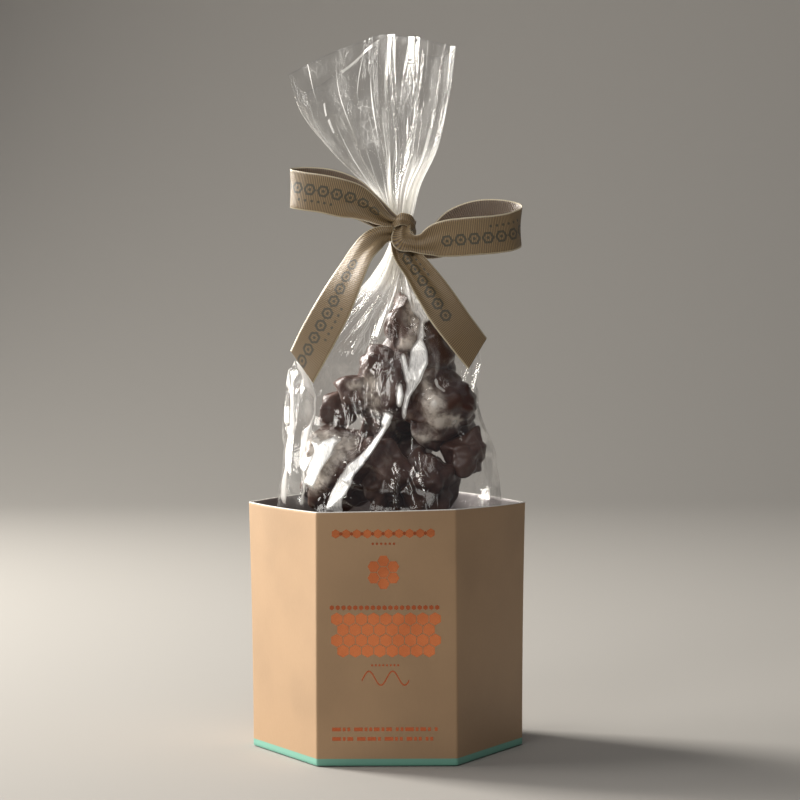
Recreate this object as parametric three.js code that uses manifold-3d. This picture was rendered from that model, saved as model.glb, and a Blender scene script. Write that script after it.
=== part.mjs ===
// A gift pack of chocolate honeycomb toffee: an open six-sided carton, a clear film bag of toffee that
// stands in it, and a grosgrain ribbon tied round the bag's neck in a bow.
// Millimetres, +Z up, +Y away from the front panel, origin at the middle of the carton's base.
import * as THREE from "three";
import { mergeVertices } from "three/addons/utils/BufferGeometryUtils.js";
import Module from "manifold-3d";

const wasm = await Module();
wasm.setup();

// Carton
const SIDE = 54; // one side of the hexagon, outside
const CARTON_HEIGHT = 98;
const BOARD = 0.8; // thickness of the board
const APOTHEM = (SIDE * Math.sqrt(3)) / 2;
const RIM_SPREAD = 1.3; // how far the left and right corners lean out at the rim
const RIM_BULGE = 2.6; // how far the bag pushes out the middle of each panel at the rim
const PANEL_COLUMNS = 6;
const WALL_LEVELS = [0, 0.2, 0.42, 0.62, 0.8, 0.92, 1]; // shares of the height

// Bag
const FLOOR_GAP = 0.4; // air between the film and the carton's floor
const BAG_SIDES = 72; // points round the film
const NECK = { x: 6, r: 4.9, low: 200, high: 212 };
const BODY_LEVELS = [
  3, 8, 30, 60, 84, 94, 99, 105, 111, 117, 124, 131, 138, 145, 151, 156, 160, 165, 170, 175, 180, 185, 190,
  195, NECK.low, 205, NECK.high,
];
// The bag's section: z, centre x, half width, depth over width, and how square its hexagon is (2 is round).
const BAG_PROFILE = [
  [BOARD + FLOOR_GAP, 0, 40, 1, 9],
  [4, 0, 44.4, 1, 16],
  [10, 0, 45.1, 1, 20],
  [60, 0.2, 45, 1, 18],
  [98, 1.1, 45, 0.95, 6],
  [106, 0.9, 44.4, 0.92, 4],
  [117, 0.4, 42.6, 0.87, 3],
  [129, -0.6, 40.4, 0.81, 3],
  [138, -1.8, 38.4, 0.77, 3],
  [146, -1.6, 37.7, 0.74, 3],
  [157, 0.1, 36.6, 0.71, 3],
  [165, 1.2, 29.9, 0.74, 3],
  [175, 2.6, 22.4, 0.82, 2],
  [190, 4.8, 10.4, 1, 2],
  [NECK.low, NECK.x, 5.3, 1, 2],
  [205, NECK.x, NECK.r, 1, 2],
  [NECK.high, NECK.x, NECK.r, 1, 2],
];
const GATHER = { from: 140, to: 192, depth: 1.1, count: 18, inset: 0.4 }; // pleats drawn into the neck
const TIED = 0.45; // share of the pleats' depth that is left under the ribbon
// Bulges where the toffee presses the film out: how many round the bag, twist per mm, phase and height.
const BULGES = [
  [3, 0.08, 0.6, 1.2],
  [5, -0.13, 2.1, 0.8],
];

// Flare: the film above the tie opens like a fan. Its left, right and top edges, as x and z.
const FLARE_LEFT = [
  [1.1, NECK.high], [-9, 224], [-21, 236.5], [-33.5, 252.7], [-38.5, 268],
];
const FLARE_RIGHT = [
  [10.9, NECK.high], [14.2, 223.9], [20.8, 238.2], [25.9, 260.6], [28, 278.9],
];
const FLARE_TOP = [
  [-38.5, 268], [-23.1, 276.4], [-5.4, 283.1], [0.8, 284.3], [17.1, 281.9], [28, 278.9],
];
// How far the front film's top edge lies below the back film's, by share of the width from the left.
const FRONT_DIP = [
  [0, 0], [0.16, 10.5], [0.3, 10], [0.46, 4.5], [0.6, 1.5], [0.74, 1], [0.8, 4.5], [0.9, 6.5], [1, 0],
];
const FLARE_LEVELS = 12;
const FLARE_DEPTH = 11; // half the gap between front and back film at the mouth
const FLARE_PLEATS = { count: 7, depth: 1.3, uneven: 0.9 };
const FLARE_SWAY = 1.6; // how far the mouth waves to front and back
const FILM_WALL = 0.9; // wall of the open flare
const HOLLOW_FROM = 0.34; // share of the flare's height where the hollow begins
const HOLLOW_INSET = 0.07; // share of the mouth's width that each closed corner takes
const HOLLOW_LEVELS = 9;

// Ribbon
const RIBBON_WIDTH = 15;
const RIBBON_THICK = 0.9;
const RIBBON_STEP = 1.8; // spacing of the sections along a strand
const KNOT = { x: 6.9, y: -10.2, z: 204.4 };
const COLLAR = { r: 6, width: 8.5, z: 206.5 }; // the turn of ribbon round the neck
const KNOT_BAND = { lean: 24, reachX: 4.5, reachY: 3.7, width: 9.5, thick: 1.2 };
const KNOT_CORE = { x: 3.9, y: 4.5, z: 5.4 };
const BAND_SWELL = 0.7;
const BAND_SIDES = 28;

// A strand's route: centre x, y, z, the direction of its width x, y, z, and its width where it is crushed.
const LEFT_LOOP = [
  [4.6, -10.2, 207, 0.25, 0.1, 1, 7.5],
  [-1.5, -12.2, 210.6, 0.32, -0.2, 1, 10],
  [-8.4, -14.8, 215.2, 0.2, -0.15, 1, 13.2],
  [-16, -16.4, 218.3, 0.08, -0.1, 1],
  [-24.5, -16.2, 220.2, 0.02, -0.05, 1],
  [-32.5, -14.2, 221.4, 0, 0, 1],
  [-37, -10.4, 222.5, 0, 0, 1],
  [-36.3, -6, 223.3, 0, 0.02, 1],
  [-30.5, -3.6, 223.7, 0, 0.04, 1],
  [-22, -3.2, 222.8, 0.05, 0.04, 1],
  [-13.5, -5, 219.3, 0.15, 0, 1],
  [-6, -7.4, 214.4, 0.25, -0.05, 1, 12],
  [0.4, -8.8, 209.6, 0.3, 0, 1, 9],
  [4.8, -9.4, 206.6, 0.3, 0, 1, 7.5],
];
const RIGHT_LOOP = [
  [8.6, -10.6, 202.4, -0.1, 0, 1, 8],
  [13.6, -13, 200.7, -0.18, -0.2, 1, 8.5],
  [19, -16, 201.6, -0.25, -0.3, 1, 12],
  [26, -18.3, 202.8, -0.12, -0.15, 1],
  [34, -19.2, 203.4, 0, -0.05, 1],
  [42.5, -18.2, 204.1, 0.02, 0, 1],
  [49.6, -14.8, 205.3, 0.03, 0.05, 1],
  [52.9, -9.4, 207.2, 0.03, 0.1, 1],
  [51, -4.1, 209.2, 0, 0.15, 1],
  [45, -1, 210.8, 0, 0.2, 1],
  [37, 0.4, 210.7, -0.05, 0.2, 1],
  [29, -0.6, 208.2, -0.12, 0.2, 1],
  [21.5, -3.6, 204.2, -0.2, 0.15, 1, 13],
  [14.5, -7.2, 202, -0.2, 0.1, 1, 9],
  [9, -9.4, 202.6, -0.1, 0, 1, 8],
];
const LEFT_TAIL = [
  [5.4, -11, 203.4, 0.5, 0, 1, 8],
  [0, -13.4, 203.8, 0.1, -0.1, 1, 9],
  [-5.6, -16.8, 200.8, -0.55, -0.3, 0.9, 11.5],
  [-10.4, -19.4, 194.6, -0.85, -0.25, 0.55, 13.5],
  [-14.4, -21.2, 187, -0.9, -0.1, 0.5],
  [-20, -22.8, 176.6, -0.88, 0.1, 0.5],
  [-26.2, -22.8, 165.2, -0.87, 0.25, 0.5],
  [-32.9, -20.9, 152.7, -0.86, 0.4, 0.5],
];
const RIGHT_TAIL = [
  [6.6, -9.6, 201.4, 1, 0, 0.1, 8.5],
  [7.4, -13.6, 196.2, 1, 0, 0.15, 9.8],
  [11.6, -18, 189.8, 0.95, 0.1, 0.35, 12],
  [17.4, -20.8, 182.6, 0.82, 0.3, 0.48, 14],
  [23, -21.9, 174.6, 0.8, 0.36, 0.5],
  [28.8, -21.4, 166.6, 0.78, 0.42, 0.5],
  [35.8, -18.8, 157.6, 0.76, 0.5, 0.5],
];
const LEFT_CUT = -3.1; // how far one corner of a tail's slanting end runs past the middle
const RIGHT_CUT = -1.7;
const CUT_RUN = 11; // length over which the slant grows

// Maths

const CLEAR = 6; // how far a cutting solid runs past what it cuts

const zigzag = (q) => 4 * Math.abs(q - Math.floor(q) - 0.5) - 1;

const lerp = (a, b, t) => a + (b - a) * t;

const ramp = (a, b, t) => THREE.MathUtils.smoothstep(t, a, b);

// Reads a table whose first column rises: a smooth curve through its rows at the given first value.
function table(rows, key) {
  const last = rows.length - 1;
  const at = Math.min(Math.max(rows.findIndex((row) => row[0] > key), 1), last);
  const i = key >= rows[last][0] ? last : at;
  const [a, b] = [rows[i - 1], rows[i]];
  const t = THREE.MathUtils.clamp((key - a[0]) / (b[0] - a[0]), 0, 1);
  return a.map((value, k) => {
    const before = rows[Math.max(i - 2, 0)];
    const after = rows[Math.min(i + 1, last)];
    const span = b[0] - a[0];
    const m0 = ((b[k] - before[k]) / Math.max(b[0] - before[0], 1e-6)) * span;
    const m1 = ((after[k] - a[k]) / Math.max(after[0] - a[0], 1e-6)) * span;
    const t2 = t * t;
    const t3 = t2 * t;
    return (2 * t3 - 3 * t2 + 1) * value + (t3 - 2 * t2 + t) * m0 + (3 * t2 - 2 * t3) * b[k] + (t3 - t2) * m1;
  });
}

// A point on a line of [x, z] points, at the share t of its length.
function along(points, t) {
  const curve = new THREE.CatmullRomCurve3(
    points.map(([x, z]) => new THREE.Vector3(x, 0, z)), false, "centripetal",
  );
  return curve.getPointAt(THREE.MathUtils.clamp(t, 0, 1));
}

// Meshes

// Skins rings of equally many points. Each end closes with a fan round its middle, or flat across it.
function skin(rings, flatTop = false) {
  const n = rings[0].length;
  const position = rings.flat().flatMap((p) => [p.x, p.y, p.z]);
  const index = [];
  const at = (ring, i) => ring * n + ((i + n) % n);
  for (let ring = 0; ring + 1 < rings.length; ring++)
    for (let i = 0; i < n; i++) {
      index.push(at(ring, i), at(ring, i + 1), at(ring + 1, i + 1));
      index.push(at(ring, i), at(ring + 1, i + 1), at(ring + 1, i));
    }
  const fan = (ring, out) => {
    const middle = rings[ring].reduce((sum, p) => sum.add(p), new THREE.Vector3()).divideScalar(n);
    const centre = position.length / 3;
    position.push(middle.x, middle.y, middle.z);
    for (let i = 0; i < n; i++)
      index.push(centre, ...(out ? [at(ring, i), at(ring, i + 1)] : [at(ring, i + 1), at(ring, i)]));
  };
  const last = rings.length - 1;
  fan(0, false);
  if (flatTop)
    for (let i = 0; i < n / 2; i++) {
      const [a, b, c, d] = [at(last, i), at(last, i + 1), at(last, n - i - 1), at(last, n - i)];
      if (b !== c) index.push(a, b, c);
      if (a !== d) index.push(a, c, d);
    }
  else fan(last, true);
  const geometry = new THREE.BufferGeometry();
  geometry.setAttribute("position", new THREE.Float32BufferAttribute(position, 3));
  geometry.setIndex(index);
  return geometry;
}

function solid(geometry) {
  const bare = new THREE.BufferGeometry().setAttribute("position", geometry.getAttribute("position"));
  bare.setIndex(geometry.index);
  const merged = mergeVertices(bare, 1e-4);
  const made = new wasm.Manifold(
    new wasm.Mesh({
      numProp: 3,
      vertProperties: new Float32Array(merged.attributes.position.array),
      triVerts: new Uint32Array(merged.index.array),
    }),
  );
  if (made.volume() < 0) throw new Error("a solid is inside out");
  return made;
}

// A solid's largest body, without the scraps that a join can leave.
function largest(made) {
  return made.decompose().reduce((a, b) => (b.volume() > a.volume() ? b : a));
}

function geometryOf(manifold) {
  const mesh = manifold.getMesh();
  const geometry = new THREE.BufferGeometry();
  geometry.setAttribute("position", new THREE.BufferAttribute(new Float32Array(mesh.vertProperties), 3));
  geometry.setIndex(new THREE.BufferAttribute(new Uint32Array(mesh.triVerts), 1));
  geometry.computeVertexNormals();
  return geometry;
}

// Carton

// A point of the carton's wall: u runs round it from the left corner by way of the front, inset inwards.
function cartonPoint(u, z, inset) {
  const share = z / CARTON_HEIGHT;
  const corner = (k) => {
    const angle = Math.PI + (k * Math.PI) / 3;
    const spread = k % 3 === 0 ? RIM_SPREAD : -RIM_SPREAD / 2;
    const r = SIDE * (1 - inset / APOTHEM) + spread * share ** 2;
    return new THREE.Vector3(r * Math.cos(angle), r * Math.sin(angle), z);
  };
  const panel = Math.floor(u * 6 + 1e-9);
  const f = u * 6 - panel;
  const a = corner(panel);
  const b = corner(panel + 1);
  const out = new THREE.Vector3(b.y - a.y, a.x - b.x, 0).normalize();
  return a.lerp(b, f).addScaledVector(out, RIM_BULGE * Math.sin(Math.PI * f) * share ** 2);
}

function cartonGeometry() {
  const n = 6 * PANEL_COLUMNS;
  const ring = (z, inset) => Array.from({ length: n }, (_, i) => cartonPoint(i / n, z, inset));
  const outer = WALL_LEVELS.map((share) => ring(share * CARTON_HEIGHT, 0));
  const inner = WALL_LEVELS.map((share) => ring(Math.max(share * CARTON_HEIGHT, BOARD), BOARD)).reverse();
  return skin([...outer, ...inner]);
}

// Bag

// A hexagon with flats to the front and back and rounded corners, of half width 1; squareness 2 is a circle.
function hexagonRadius(angle, squareness) {
  const sum = (a) =>
    [0, 1, 2, 3, 4, 5].reduce(
      (total, k) => total + Math.max(Math.cos(a - Math.PI / 2 - (k * Math.PI) / 3), 0) ** squareness, 0,
    );
  return (sum(angle) / sum(0)) ** (-1 / squareness);
}

// How far the toffee inside pushes the film out between the carton's rim and the neck, at front and back.
function bulge(angle, z) {
  const here = ramp(96, 112, z) * (1 - ramp(160, 178, z)) * Math.abs(Math.sin(angle));
  const wave = ([count, twist, phase, height]) => height * Math.sin(count * angle + twist * z + phase);
  return here * BULGES.reduce((total, row) => total + wave(row), 0);
}

function bodyRing(z) {
  const [, x, half, depth, squareness] = table(BAG_PROFILE, z);
  const gather = ramp(GATHER.from, GATHER.to, z) * (1 - (1 - TIED) * ramp(GATHER.to, NECK.low, z));
  return Array.from({ length: BAG_SIDES }, (_, i) => {
    const u = i / BAG_SIDES;
    const angle = Math.PI + 2 * Math.PI * u;
    const pleat = (GATHER.depth / 2) * (0.7 + 0.3 * Math.sin(7 * angle)) * zigzag(u * GATHER.count);
    const r = half * hexagonRadius(angle, squareness) + bulge(angle, z) + gather * (pleat - GATHER.inset);
    return new THREE.Vector3(x + r * Math.cos(angle), depth * r * Math.sin(angle), z);
  });
}

// A point of the flare: side is -1 on the front film, 1 on the back; s runs left to right, t up to the mouth.
function flarePoint(s, t, side, wall = 0) {
  const left = along(FLARE_LEFT, t);
  const right = along(FLARE_RIGHT, t);
  const chord = left.clone().lerp(right, s);
  const arch = along(FLARE_TOP, s).z - lerp(FLARE_LEFT.at(-1)[1], FLARE_RIGHT.at(-1)[1], s);
  const dip = side < 0 ? table(FRONT_DIP, s)[1] * t ** 3 : 0;
  const round = Math.sqrt(Math.max(1 - (2 * s - 1) ** 2, 0));
  const open = lerp(NECK.r, FLARE_DEPTH, t ** 0.8);
  const depth = FLARE_PLEATS.depth + FLARE_PLEATS.uneven * Math.sin(11 * s + side);
  const pleat = ramp(0.05, 0.7, t) * round * depth * zigzag(s * FLARE_PLEATS.count + 0.2 * side);
  const fold = pleat + FLARE_SWAY * t * Math.sin(5 * s + 0.9);
  return new THREE.Vector3(chord.x, side * (open * round - wall) + fold, chord.z + arch * t ** 2 - dip);
}

// One ring of the flare, from the left corner along the front film and back along the other.
function flareRing(t) {
  const half = BAG_SIDES / 2;
  return Array.from({ length: BAG_SIDES }, (_, i) => {
    const turn = i <= half ? i / half : 2 - i / half;
    const s = lerp((1 - Math.cos(Math.PI * turn)) / 2, turn, ramp(0.1, 0.8, t));
    return flarePoint(s, t, i <= half ? -1 : 1);
  });
}

// The air inside the flare, open at the mouth and run on above it.
function flareHollow() {
  const half = BAG_SIDES / 2;
  const ring = (t, lift) =>
    [-1, 1].flatMap((side) =>
      Array.from({ length: half }, (_, i) => {
        const turn = side < 0 ? i / (half - 1) : 1 - i / (half - 1);
        const p = flarePoint(lerp(HOLLOW_INSET, 1 - HOLLOW_INSET, turn), t, side, FILM_WALL);
        return p.setZ(p.z + lift);
      }),
    );
  const share = (i) => lerp(HOLLOW_FROM, 1, i / (HOLLOW_LEVELS - 1));
  const rings = Array.from({ length: HOLLOW_LEVELS }, (_, i) => ring(share(i), 0));
  return solid(skin([...rings, ring(1, CLEAR)], true));
}

function bagGeometry() {
  const rings = [BAG_PROFILE[0][0], ...BODY_LEVELS].map(bodyRing);
  for (let i = 1; i <= FLARE_LEVELS; i++) rings.push(flareRing(i / FLARE_LEVELS));
  return geometryOf(solid(skin(rings, true)).subtract(flareHollow()));
}

// Ribbon

// A flat strand along a route: a smooth curve through its centres, its width turned to the route's directions.
function strand(route, { cut = 0, thick = RIBBON_THICK } = {}) {
  const centres = new THREE.CatmullRomCurve3(
    route.map(([x, y, z]) => new THREE.Vector3(x, y, z)), false, "centripetal",
  );
  const length = centres.getLength();
  const steps = Math.max(4, Math.round(length / RIBBON_STEP));
  const rows = route.map(([, , , wx, wy, wz, width = RIBBON_WIDTH], i) => [
    i / (route.length - 1), wx, wy, wz, width,
  ]);
  const rings = [];
  for (let i = 0; i <= steps; i++) {
    const t = centres.getUtoTmapping(i / steps);
    const centre = centres.getPoint(t);
    const forward = centres.getTangent(t);
    const [, wx, wy, wz, width] = table(rows, t);
    const across = new THREE.Vector3(wx, wy, wz);
    across.addScaledVector(forward, -across.dot(forward)).normalize();
    const out = new THREE.Vector3().crossVectors(forward, across);
    const slant = cut * Math.max(0, 1 - (length * (1 - i / steps)) / CUT_RUN);
    rings.push(
      [[1, 1], [-1, 1], [-1, -1], [1, -1]].map(([side, face]) =>
        centre.clone()
          .addScaledVector(across, (side * width) / 2)
          .addScaledVector(out, (face * thick) / 2)
          .addScaledVector(forward, side * slant),
      ),
    );
  }
  return solid(skin(rings));
}

// A closed band round an upright axis, swollen at its middle: radii along X and Y, leaning about Y.
function band({ x, y, z, reachX, reachY, width, thick, lean = 0 }) {
  const shares = [-0.5, -0.28, 0, 0.28, 0.5];
  const swell = (share) => BAND_SWELL * (1 - (2 * share) ** 2);
  const outer = shares.map((share) => new THREE.Vector2(reachX + swell(share), share * width));
  const inner = outer.map((p) => new THREE.Vector2(p.x - thick, p.y)).reverse();
  const geometry = new THREE.LatheGeometry([...outer, ...inner, outer[0]], BAND_SIDES);
  geometry.rotateX(Math.PI / 2);
  geometry.scale(1, reachY / reachX, 1);
  geometry.rotateY(THREE.MathUtils.degToRad(lean));
  geometry.translate(x, y, z);
  return solid(geometry);
}

function ribbonGeometry() {
  const core = new THREE.SphereGeometry(1, 16, 12);
  core.deleteAttribute("normal");
  core.deleteAttribute("uv");
  core.rotateX(Math.PI / 2);
  core.scale(KNOT_CORE.x, KNOT_CORE.y, KNOT_CORE.z);
  core.translate(KNOT.x, KNOT.y, KNOT.z);
  const pieces = [
    strand(LEFT_LOOP),
    strand(RIGHT_LOOP),
    strand(LEFT_TAIL, { cut: LEFT_CUT }),
    strand(RIGHT_TAIL, { cut: RIGHT_CUT }),
    band({
      x: NECK.x, y: 0, z: COLLAR.z, reachX: COLLAR.r, reachY: COLLAR.r,
      width: COLLAR.width, thick: RIBBON_THICK / 2,
    }),
    band({ ...KNOT, ...KNOT_BAND }),
  ];
  return geometryOf(largest(pieces.reduce((sum, piece) => sum.add(piece), solid(core))));
}

// The pack

function piece(name, geometry, look) {
  const made = new THREE.Mesh(geometry, new THREE.MeshStandardMaterial(look));
  made.name = name;
  return made;
}

const pack = new THREE.Group();
pack.add(piece("carton", cartonGeometry(), { color: 0xc79f74, roughness: 0.55, metalness: 0.1 }));
pack.add(piece("bag", bagGeometry(), { color: 0x54382c, roughness: 0.3, metalness: 0 }));
pack.add(piece("ribbon", ribbonGeometry(), { color: 0x8c7248, roughness: 0.8, metalness: 0 }));

export default pack;
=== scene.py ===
"""A gift pack of chocolate honeycomb toffee: an open six-sided carton, a clear film bag of toffee that stands
in it, and a grosgrain ribbon tied round the bag's neck in a bow.

Shapes are worked out in millimetres, with +Z up and the front panel facing -Y, and become metres as each
mesh is made.
"""
import math

import bpy
import numpy as np
from mathutils import Matrix, Vector


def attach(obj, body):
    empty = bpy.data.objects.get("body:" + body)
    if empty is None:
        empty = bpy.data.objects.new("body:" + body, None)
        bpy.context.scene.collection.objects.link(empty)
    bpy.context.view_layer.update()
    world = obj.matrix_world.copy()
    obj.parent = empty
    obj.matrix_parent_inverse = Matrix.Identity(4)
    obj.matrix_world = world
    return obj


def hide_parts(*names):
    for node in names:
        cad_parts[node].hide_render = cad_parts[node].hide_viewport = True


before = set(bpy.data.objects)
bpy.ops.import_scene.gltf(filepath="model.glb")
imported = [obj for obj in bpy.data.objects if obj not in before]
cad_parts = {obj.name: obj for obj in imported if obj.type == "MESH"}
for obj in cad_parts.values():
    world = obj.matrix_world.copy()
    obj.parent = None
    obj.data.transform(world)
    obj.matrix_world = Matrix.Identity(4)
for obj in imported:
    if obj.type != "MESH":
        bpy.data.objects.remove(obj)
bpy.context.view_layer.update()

METRE = 0.001  # metres in a millimetre
TURN = 2 * math.pi
SIN_60 = 0.866

# Camera, in metres and radians
CAMERA_AT = (0.00845, -1.0732, 0.1908)
CAMERA_PITCH = 0.0486
CAMERA_YAW = -0.0029
CAMERA_ROLL = 0.0038
CAMERA_LENS = 121.32

# Lights: name, place, the point each faces, and size, in metres, then watts and colour
MIDDLE = (0, 0, 0.14)
WARM = (1, 0.97, 0.93)
LIGHTS = [
    ("key", (-0.96, 0.55, 0.66), MIDDLE, (0.36, 0.95), 34, (1, 0.97, 0.92)),
    ("top_card", (-0.6, 0.12, 1.05), MIDDLE, (0.3, 0.3), 2.5, (1, 0.98, 0.95)),
    ("left_card", (-1.3, -0.1, 0.4), MIDDLE, (0.5, 1.1), 7.5, (1, 0.98, 0.95)),
    ("front_fill", (-0.7, -1.3, 1.0), MIDDLE, (0.45, 0.45), 4.9, WARM),
    ("wall", (0, 0.5, 1.6), (0, 1.7, 0.2), (1.5, 0.3), 2.6, (1, 1, 1)),
    ("floor_fill", (0.05, -0.62, 0.8), (0.05, -0.58, 0), (0.45, 0.45), 1.2, WARM),
]
STUDIO_COLOUR = (0.9, 0.92, 1, 1)
STUDIO_STRENGTH = 0.13

# Carton
SIDE = 54  # one side of the hexagon, outside
CARTON_HEIGHT = 98
BOARD = 0.6
APOTHEM = SIDE * math.sqrt(3) / 2
RIM_SPREAD = 1.3  # how far the left and right corners lean out at the rim
RIM_TILT = [0.2, 0, 1, -0.3, 0.5, 0.5]  # extra height of the rim's corners, from the left one by the front
RIM_BULGE = 1.8  # how far the bag pushes out the middle of each panel at the rim
PANEL_WAVER = 0.12  # how far a panel wavers from flat
FOLD_RADIUS = 1.0  # rounding of the upright folds
FOLD_COLUMNS = [0, 0.2, 0.4, 0.6, 1.6]  # how far from a fold the mesh has columns of points
# The wall's foot, where it meets the flaps, and its rim: height, and how far the surface is in from outside.
FOOT_PROFILE = [(0, 3), (0.35, 2.9), (0.4, 0.12), (0.55, 0)]
RIM_PROFILE = [(97.72, 0), (97.92, 0.08), (98, 0.2), (98, 0.4), (97.92, 0.52), (97.72, BOARD)]
WALL_LOW, WALL_HIGH = 1.6, 96.8  # the plain part of the wall
CARTON_FLOOR = 1.0
FLAP_STEP = 0.45  # how far one bottom flap lies over the next
FLAP_HUB = 12  # radius of the small hexagon where the bottom flaps meet
FLAP_TURN = 0.9  # how far that hexagon is turned, in radians
MINT_BAND = 3.1  # height of the coloured band at the foot

# Foil print on the front panel
FOIL_RISE = 0.06
FOIL_SINK = 0.05  # how far each plate's skirt goes into the board
HEAVY = 3  # plates taller than this are heavy shapes
# Rows of small upright hexagons: height, first and last x, how many, and radius.
HEXAGON_ROWS = [
    (89.7, -19.5, 17.2, 10, 1.75), (89.7, -17.46, 15.16, 9, 0.75), (85.9, -5.2, 3, 6, 0.5),
    (61.4, -21, 19.5, 19, 0.95), (39.2, -5.6, 4.4, 8, 0.45),
]
HONEYCOMB = {"x": -1.1, "z": 75, "cell": 2.35, "pitch": 4.35}
DEEP_BAND = {"x": -19.1, "z": 57, "cell": 2.55, "pitch": 4.72, "rows": 4, "columns": 9}
WAVE = {"left": -9.6, "right": 8.6, "z": 34.2, "rise": 2.7, "rate": 0.69, "thin": 0.24, "swell": 0.26}
WAVE_PLATES = 60
DASHED_LINES = {"heights": (14.5, 10.8), "left": -21, "last": 18.5, "right": 19.4, "thick": 1.4}
DASHES = [1.1, 1.1, 2.2, 3.3]  # lengths to choose from, the likelier ones twice
GAPS = [0.7, 0.7, 1.5]

# Bag
NECK_X = 6
NECK_TOP = 212
# The bag's section: z, centre x, half width, depth over width, and how square its hexagon is (2 is round).
BAG_PROFILE = [
    (1.2, 0, 40, 1, 9), (4, 0, 44.4, 1, 16), (10, 0, 45.1, 1, 20), (60, 0.2, 45, 1, 18),
    (98, 1.1, 45, 0.95, 6), (106, 0.9, 44.4, 0.92, 4), (117, 0.4, 42.6, 0.87, 3), (129, -0.6, 40.4, 0.81, 3),
    (138, -1.8, 38.4, 0.77, 3), (146, -1.6, 37.7, 0.74, 3), (157, 0.1, 36.6, 0.71, 3),
    (165, 1.2, 29.9, 0.74, 3), (175, 2.6, 22.4, 0.82, 2), (190, 4.8, 10.4, 1, 2), (200, 6, 5.4, 1, 2),
    (205, 5.9, 5.2, 1, 2), (212, 5.4, 5.8, 1, 2),
]
BULGES = [(3, 0.08, 0.6, 1.2), (5, -0.13, 2.1, 0.8)]  # how many round the bag, twist per mm, phase, height
FILM_GIRTH = 285  # length of film round the bag
FILM_COLUMNS = 600
FILM_ROW = 0.79  # height of a row of the mesh above the rim
ROWS_BELOW = [1.2, 1.3, 2.2, 4, 7, 12, 22, 34, 46, 58, 70, 80, 87, 91, 93.5, 95]
FILM_GAP = 0.5  # from the toffee to the film
SMOOTH_ROWS, SMOOTH_COLUMNS = 3, 6  # how far the film bridges from one bump of toffee to the next
FRONT_PULL = 4.5  # how far the film is drawn in at the front and back, where no toffee holds it out
# Heights over which the film comes free of the carton and is drawn into the neck, and over which its creases
# begin and end.
FREE_FROM, FREE_TO = (96, 106), (186, 200)
CREASED_FROM, CREASED_TO = (95, 99), (176, 194)
NECK_PLEATS = 26
# How deep the neck's pleats reach in from the bag's outline, by height.
PLEAT_DEPTH = [(144, 0), (154, 0.4), (162, 1.6), (170, 3), (180, 4.4), (190, 5), (200, 3.5), (212, 3.2)]
BROAD_FOLDS = 9
BROAD_DEPTH = [(96, 0.5), (120, 1.2), (150, 2), (175, 2.2), (190, 0.4), (200, 0), (212, 0)]
# Crumpling of the film: cells round the bag, a cell's height, seed, rise, and 1 if its cells sway.
BODY_CRUMPLE = [(24, 17, 31, 1.5, 1), (57, 8, 32, 0.65, 1), (120, 3.8, 33, 0.03, 0)]
FLARE_CRUMPLE = [(14, 26, 41, 0.9, 1), (40, 15, 42, 0.6, 0), (96, 6, 43, 0.22, 0)]
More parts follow.
